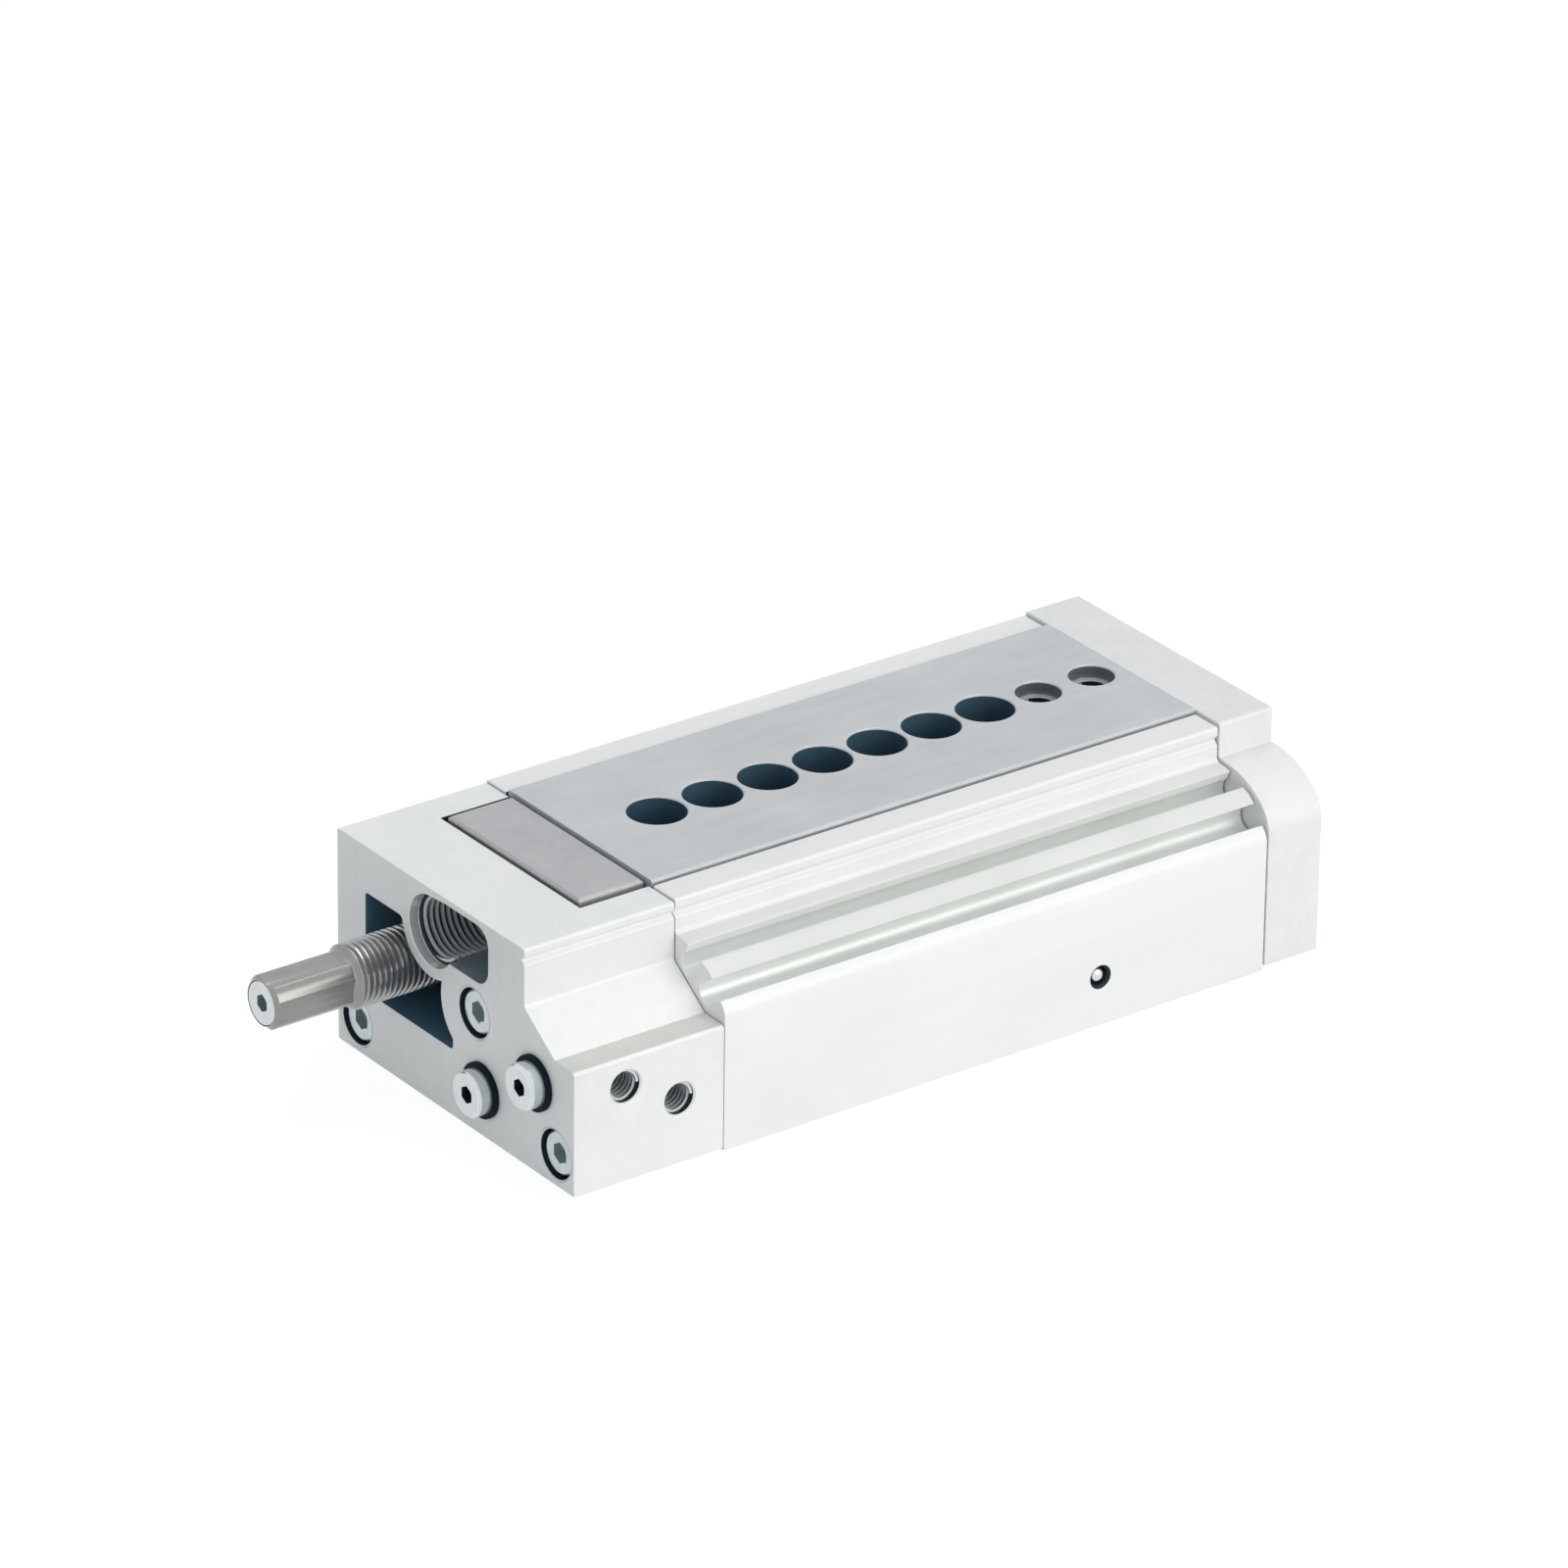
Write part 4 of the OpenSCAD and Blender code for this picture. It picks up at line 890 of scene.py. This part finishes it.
def absorberRings(look):
    # from the floor of the end socket round the outside to the nose; the small steps are its chamfers
    x, flats, bore, mouth, root = look["x"], look["flats"], look["bore"], look["mouth"], look["root"]
    neckX = x + look["headLong"]
    threadX = neckX + 1.0
    endX = x + look["long"]
    noseX = endX - look["noseDeep"]
    full = squareRing(flats, look["head"])
    return [(x + look["boreDeep"], 0.0), (x + look["boreDeep"], bore), (x + look["mouthDeep"], bore),
            (x + look["mouthDeep"], mouth), (x + 0.1, mouth), (x, mouth + 0.08), (x + 0.3, flats / 2),
            (x + 0.7, full), (neckX - 0.2, full), (neckX, look["groove"]),
            (neckX + 0.3, look["groove"] + 0.25), (neckX + 0.75, look["neck"]), (threadX, look["neck"]),
            (threadX + 0.35, root), (endX - 0.3, root), (endX, root - 0.3),
            (endX, look["noseBore"]), (noseX, look["noseBore"]), (noseX, 0.0)]


absorberMesh = turnedMesh("absorber_core", absorberRings(absorberLook), absorberTurns(absorberLook), 0)
absorberMesh.transform(Matrix.Translation(Vector((0, *absorberLook["place"])) * mm)
                       @ Matrix.Rotation(math.radians(absorberLook["twist"]), 4, "X"))
# the core under the thread takes painted shade
for finish in ("absorberSteel", "absorberRoot"):
    absorberMesh.materials.append(finishes[finish])
for face in absorberMesh.polygons:
    if face.center.x > (absorberLook["x"] + absorberLook["threadFrom"]) * mm:
        face.material_index = 1
absorber = bpy.data.objects.new("absorber_core", absorberMesh)
scene.collection.objects.link(absorber)
easeEdges(absorber, absorberLook)
seat(absorber, "absorber_body")
threadFoot = absorberLook["root"] - 0.02
# the thread's flanks carry painted shade and its crests a painted highlight
growThread("absorber_thread",
           {"source": "absorber_body", "turn": (0, 90, 0), "axis": (1, 0, 0),
            "places": [(absorberLook["x"] + absorberLook["threadFrom"], *absorberLook["place"])],
            "radius": threadFoot, "depth": threadFoot - absorberLook["crest"], "pitch": 1.0,
            "length": absorberLook["threadLong"], "facets": 72, "flat": 0.28, "foot": 0.64,
            "finish": "absorberFlank", "crest": "absorberCrest"})

# the end disc with its hexagon socket
discLook = {"x": absorberLook["x"] + 1.15, "places": [absorberLook["place"]], "facesRear": True, "reach": 1.7,
            "head": 3.33, "height": 1.05, "ease": 0.06, "socket": 2.5, "socketDeep": 1.4, "lip": 0.1,
            "point": 0.25, "stem": 2.9}


def discRings(look):
    head, high, ease = look["head"], look["height"], look["ease"]
    return [(-look["reach"], 0.0), (-look["reach"], look["stem"]), (0, look["stem"]), (0, head),
            (high - ease, head), (high, head - ease)] + socketRings(look)


growCopies("absorber_disc", "absorber_plug", turnedMesh("absorber_disc_shape", discRings(discLook)), discLook,
           "recessShade")
print("shock absorber made")


# floor, light and camera
studio = {
    "floorHalf": 3000, "floorDrop": 0.1, "floorTone": (0.85, 0.85, 0.85, 1), "floorRough": 0.9,
    "floorGloss": 0.1, "floorShown": 0.87, "floorGlow": 1.07,
    "white": (1, 1, 1, 1), "sky": (0.905, 0.97, 1.0, 1), "skyLevel": 0.46,
    "cameraPlace": (-839.5, -1110.1, 718.5),
    "cameraRight": (0.80711, -0.59028, 0.01208),
    "cameraUp": (0.25223, 0.36324, 0.89690),
    "cameraAhead": (0.53381, 0.72085, -0.44206),
    "lens": 241.9, "sensor": 36, "sightEnd": 20,
}


def seenAsWhite(tree):
    # 1 for rays from the camera and for what gloss and glass show
    path = addNode(tree, "ShaderNodeLightPath")
    seen = path.outputs["Is Camera Ray"]
    for kind in ("Is Glossy Ray", "Is Transmission Ray"):
        either = addNode(tree, "ShaderNodeMath", {0: seen, 1: path.outputs[kind]}, operation="MAXIMUM")
        seen = either.outputs["Value"]
    return seen


def makeFloor():
    half = studio["floorHalf"] * mm
    z = -studio["floorDrop"] * mm
    mesh = bpy.data.meshes.new("floor")
    corners = [(-half, -half, z), (half, -half, z), (half, half, z), (-half, half, z)]
    mesh.from_pydata(corners, [], [(0, 1, 2, 3)])
    floor = bpy.data.objects.new("floor", mesh)
    scene.collection.objects.link(floor)
    paper = bpy.data.materials.new("floorPaper")
    paper.use_nodes = True
    tree = paper.node_tree
    shader = next(n for n in tree.nodes if n.type == "BSDF_PRINCIPLED")
    for socket, value in (("Base Color", "floorTone"), ("Roughness", "floorRough"),
                          ("Specular IOR Level", "floorGloss")):
        shader.inputs[socket].default_value = studio[value]
    out = next(n for n in tree.nodes if n.type == "OUTPUT_MATERIAL")
    share = addNode(tree, "ShaderNodeMath", {0: seenAsWhite(tree), 1: studio["floorShown"]},
                    operation="MULTIPLY")
    glow = addNode(tree, "ShaderNodeEmission", {"Color": studio["white"], "Strength": studio["floorGlow"]})
    both = addNode(tree, "ShaderNodeMixShader")
    wire(tree, ((share, "Value", both, "Fac"),
                (shader, "BSDF", both, 1),
                (glow, "Emission", both, 2),
                (both, "Shader", out, "Surface")))
    mesh.materials.append(paper)


def makeSky():
    world = bpy.data.worlds.new("studioSky")
    scene.world = world
    world.use_nodes = True
    tree = world.node_tree
    tree.nodes.clear()
    level = addNode(tree, "ShaderNodeBackground", {"Color": studio["sky"], "Strength": studio["skyLevel"]})
    white = addNode(tree, "ShaderNodeBackground", {"Color": studio["white"], "Strength": 1.0})
    both = addNode(tree, "ShaderNodeMixShader", {"Fac": seenAsWhite(tree)})
    out = addNode(tree, "ShaderNodeOutputWorld")
    wire(tree, ((level, "Background", both, 1),
                (white, "Background", both, 2),
                (both, "Shader", out, "Surface")))


lamps = {
    "sideLamp": {"place": (250, -1300, 520), "size": 1100, "watts": 10.0, "tint": (1.0, 0.985, 0.95)},
    "topLamp": {"place": (350, 150, 1400), "size": 1100, "watts": 6.0, "tint": (1.0, 0.985, 0.955)},
}


def makeLamps():
    for name, look in lamps.items():
        lamp = bpy.data.lights.new(name, "AREA")
        lamp.size = look["size"] * mm
        lamp.energy = look["watts"]
        lamp.color = look["tint"]
        holder = bpy.data.objects.new(name, lamp)
        scene.collection.objects.link(holder)
        place = Vector(look["place"]) * mm
        aim = (-place).to_track_quat("-Z", "Y")
        holder.matrix_world = Matrix.LocRotScale(place, aim, None)


def makeCamera():
    view = bpy.data.cameras.new("camera")
    view.lens = studio["lens"]
    view.sensor_width = studio["sensor"]
    view.clip_end = studio["sightEnd"]
    camera = bpy.data.objects.new("camera", view)
    scene.collection.objects.link(camera)
    right = Vector(studio["cameraRight"])
    up = Vector(studio["cameraUp"])
    ahead = Vector(studio["cameraAhead"])
    place = Vector(studio["cameraPlace"]) * mm
    camera.matrix_world = Matrix((
        (right.x, up.x, -ahead.x, place.x),
        (right.y, up.y, -ahead.y, place.y),
        (right.z, up.z, -ahead.z, place.z),
        (0, 0, 0, 1)))
    scene.camera = camera


makeFloor()
makeSky()
makeLamps()
makeCamera()
scene.view_settings.view_transform = "Standard"
print("studio made")
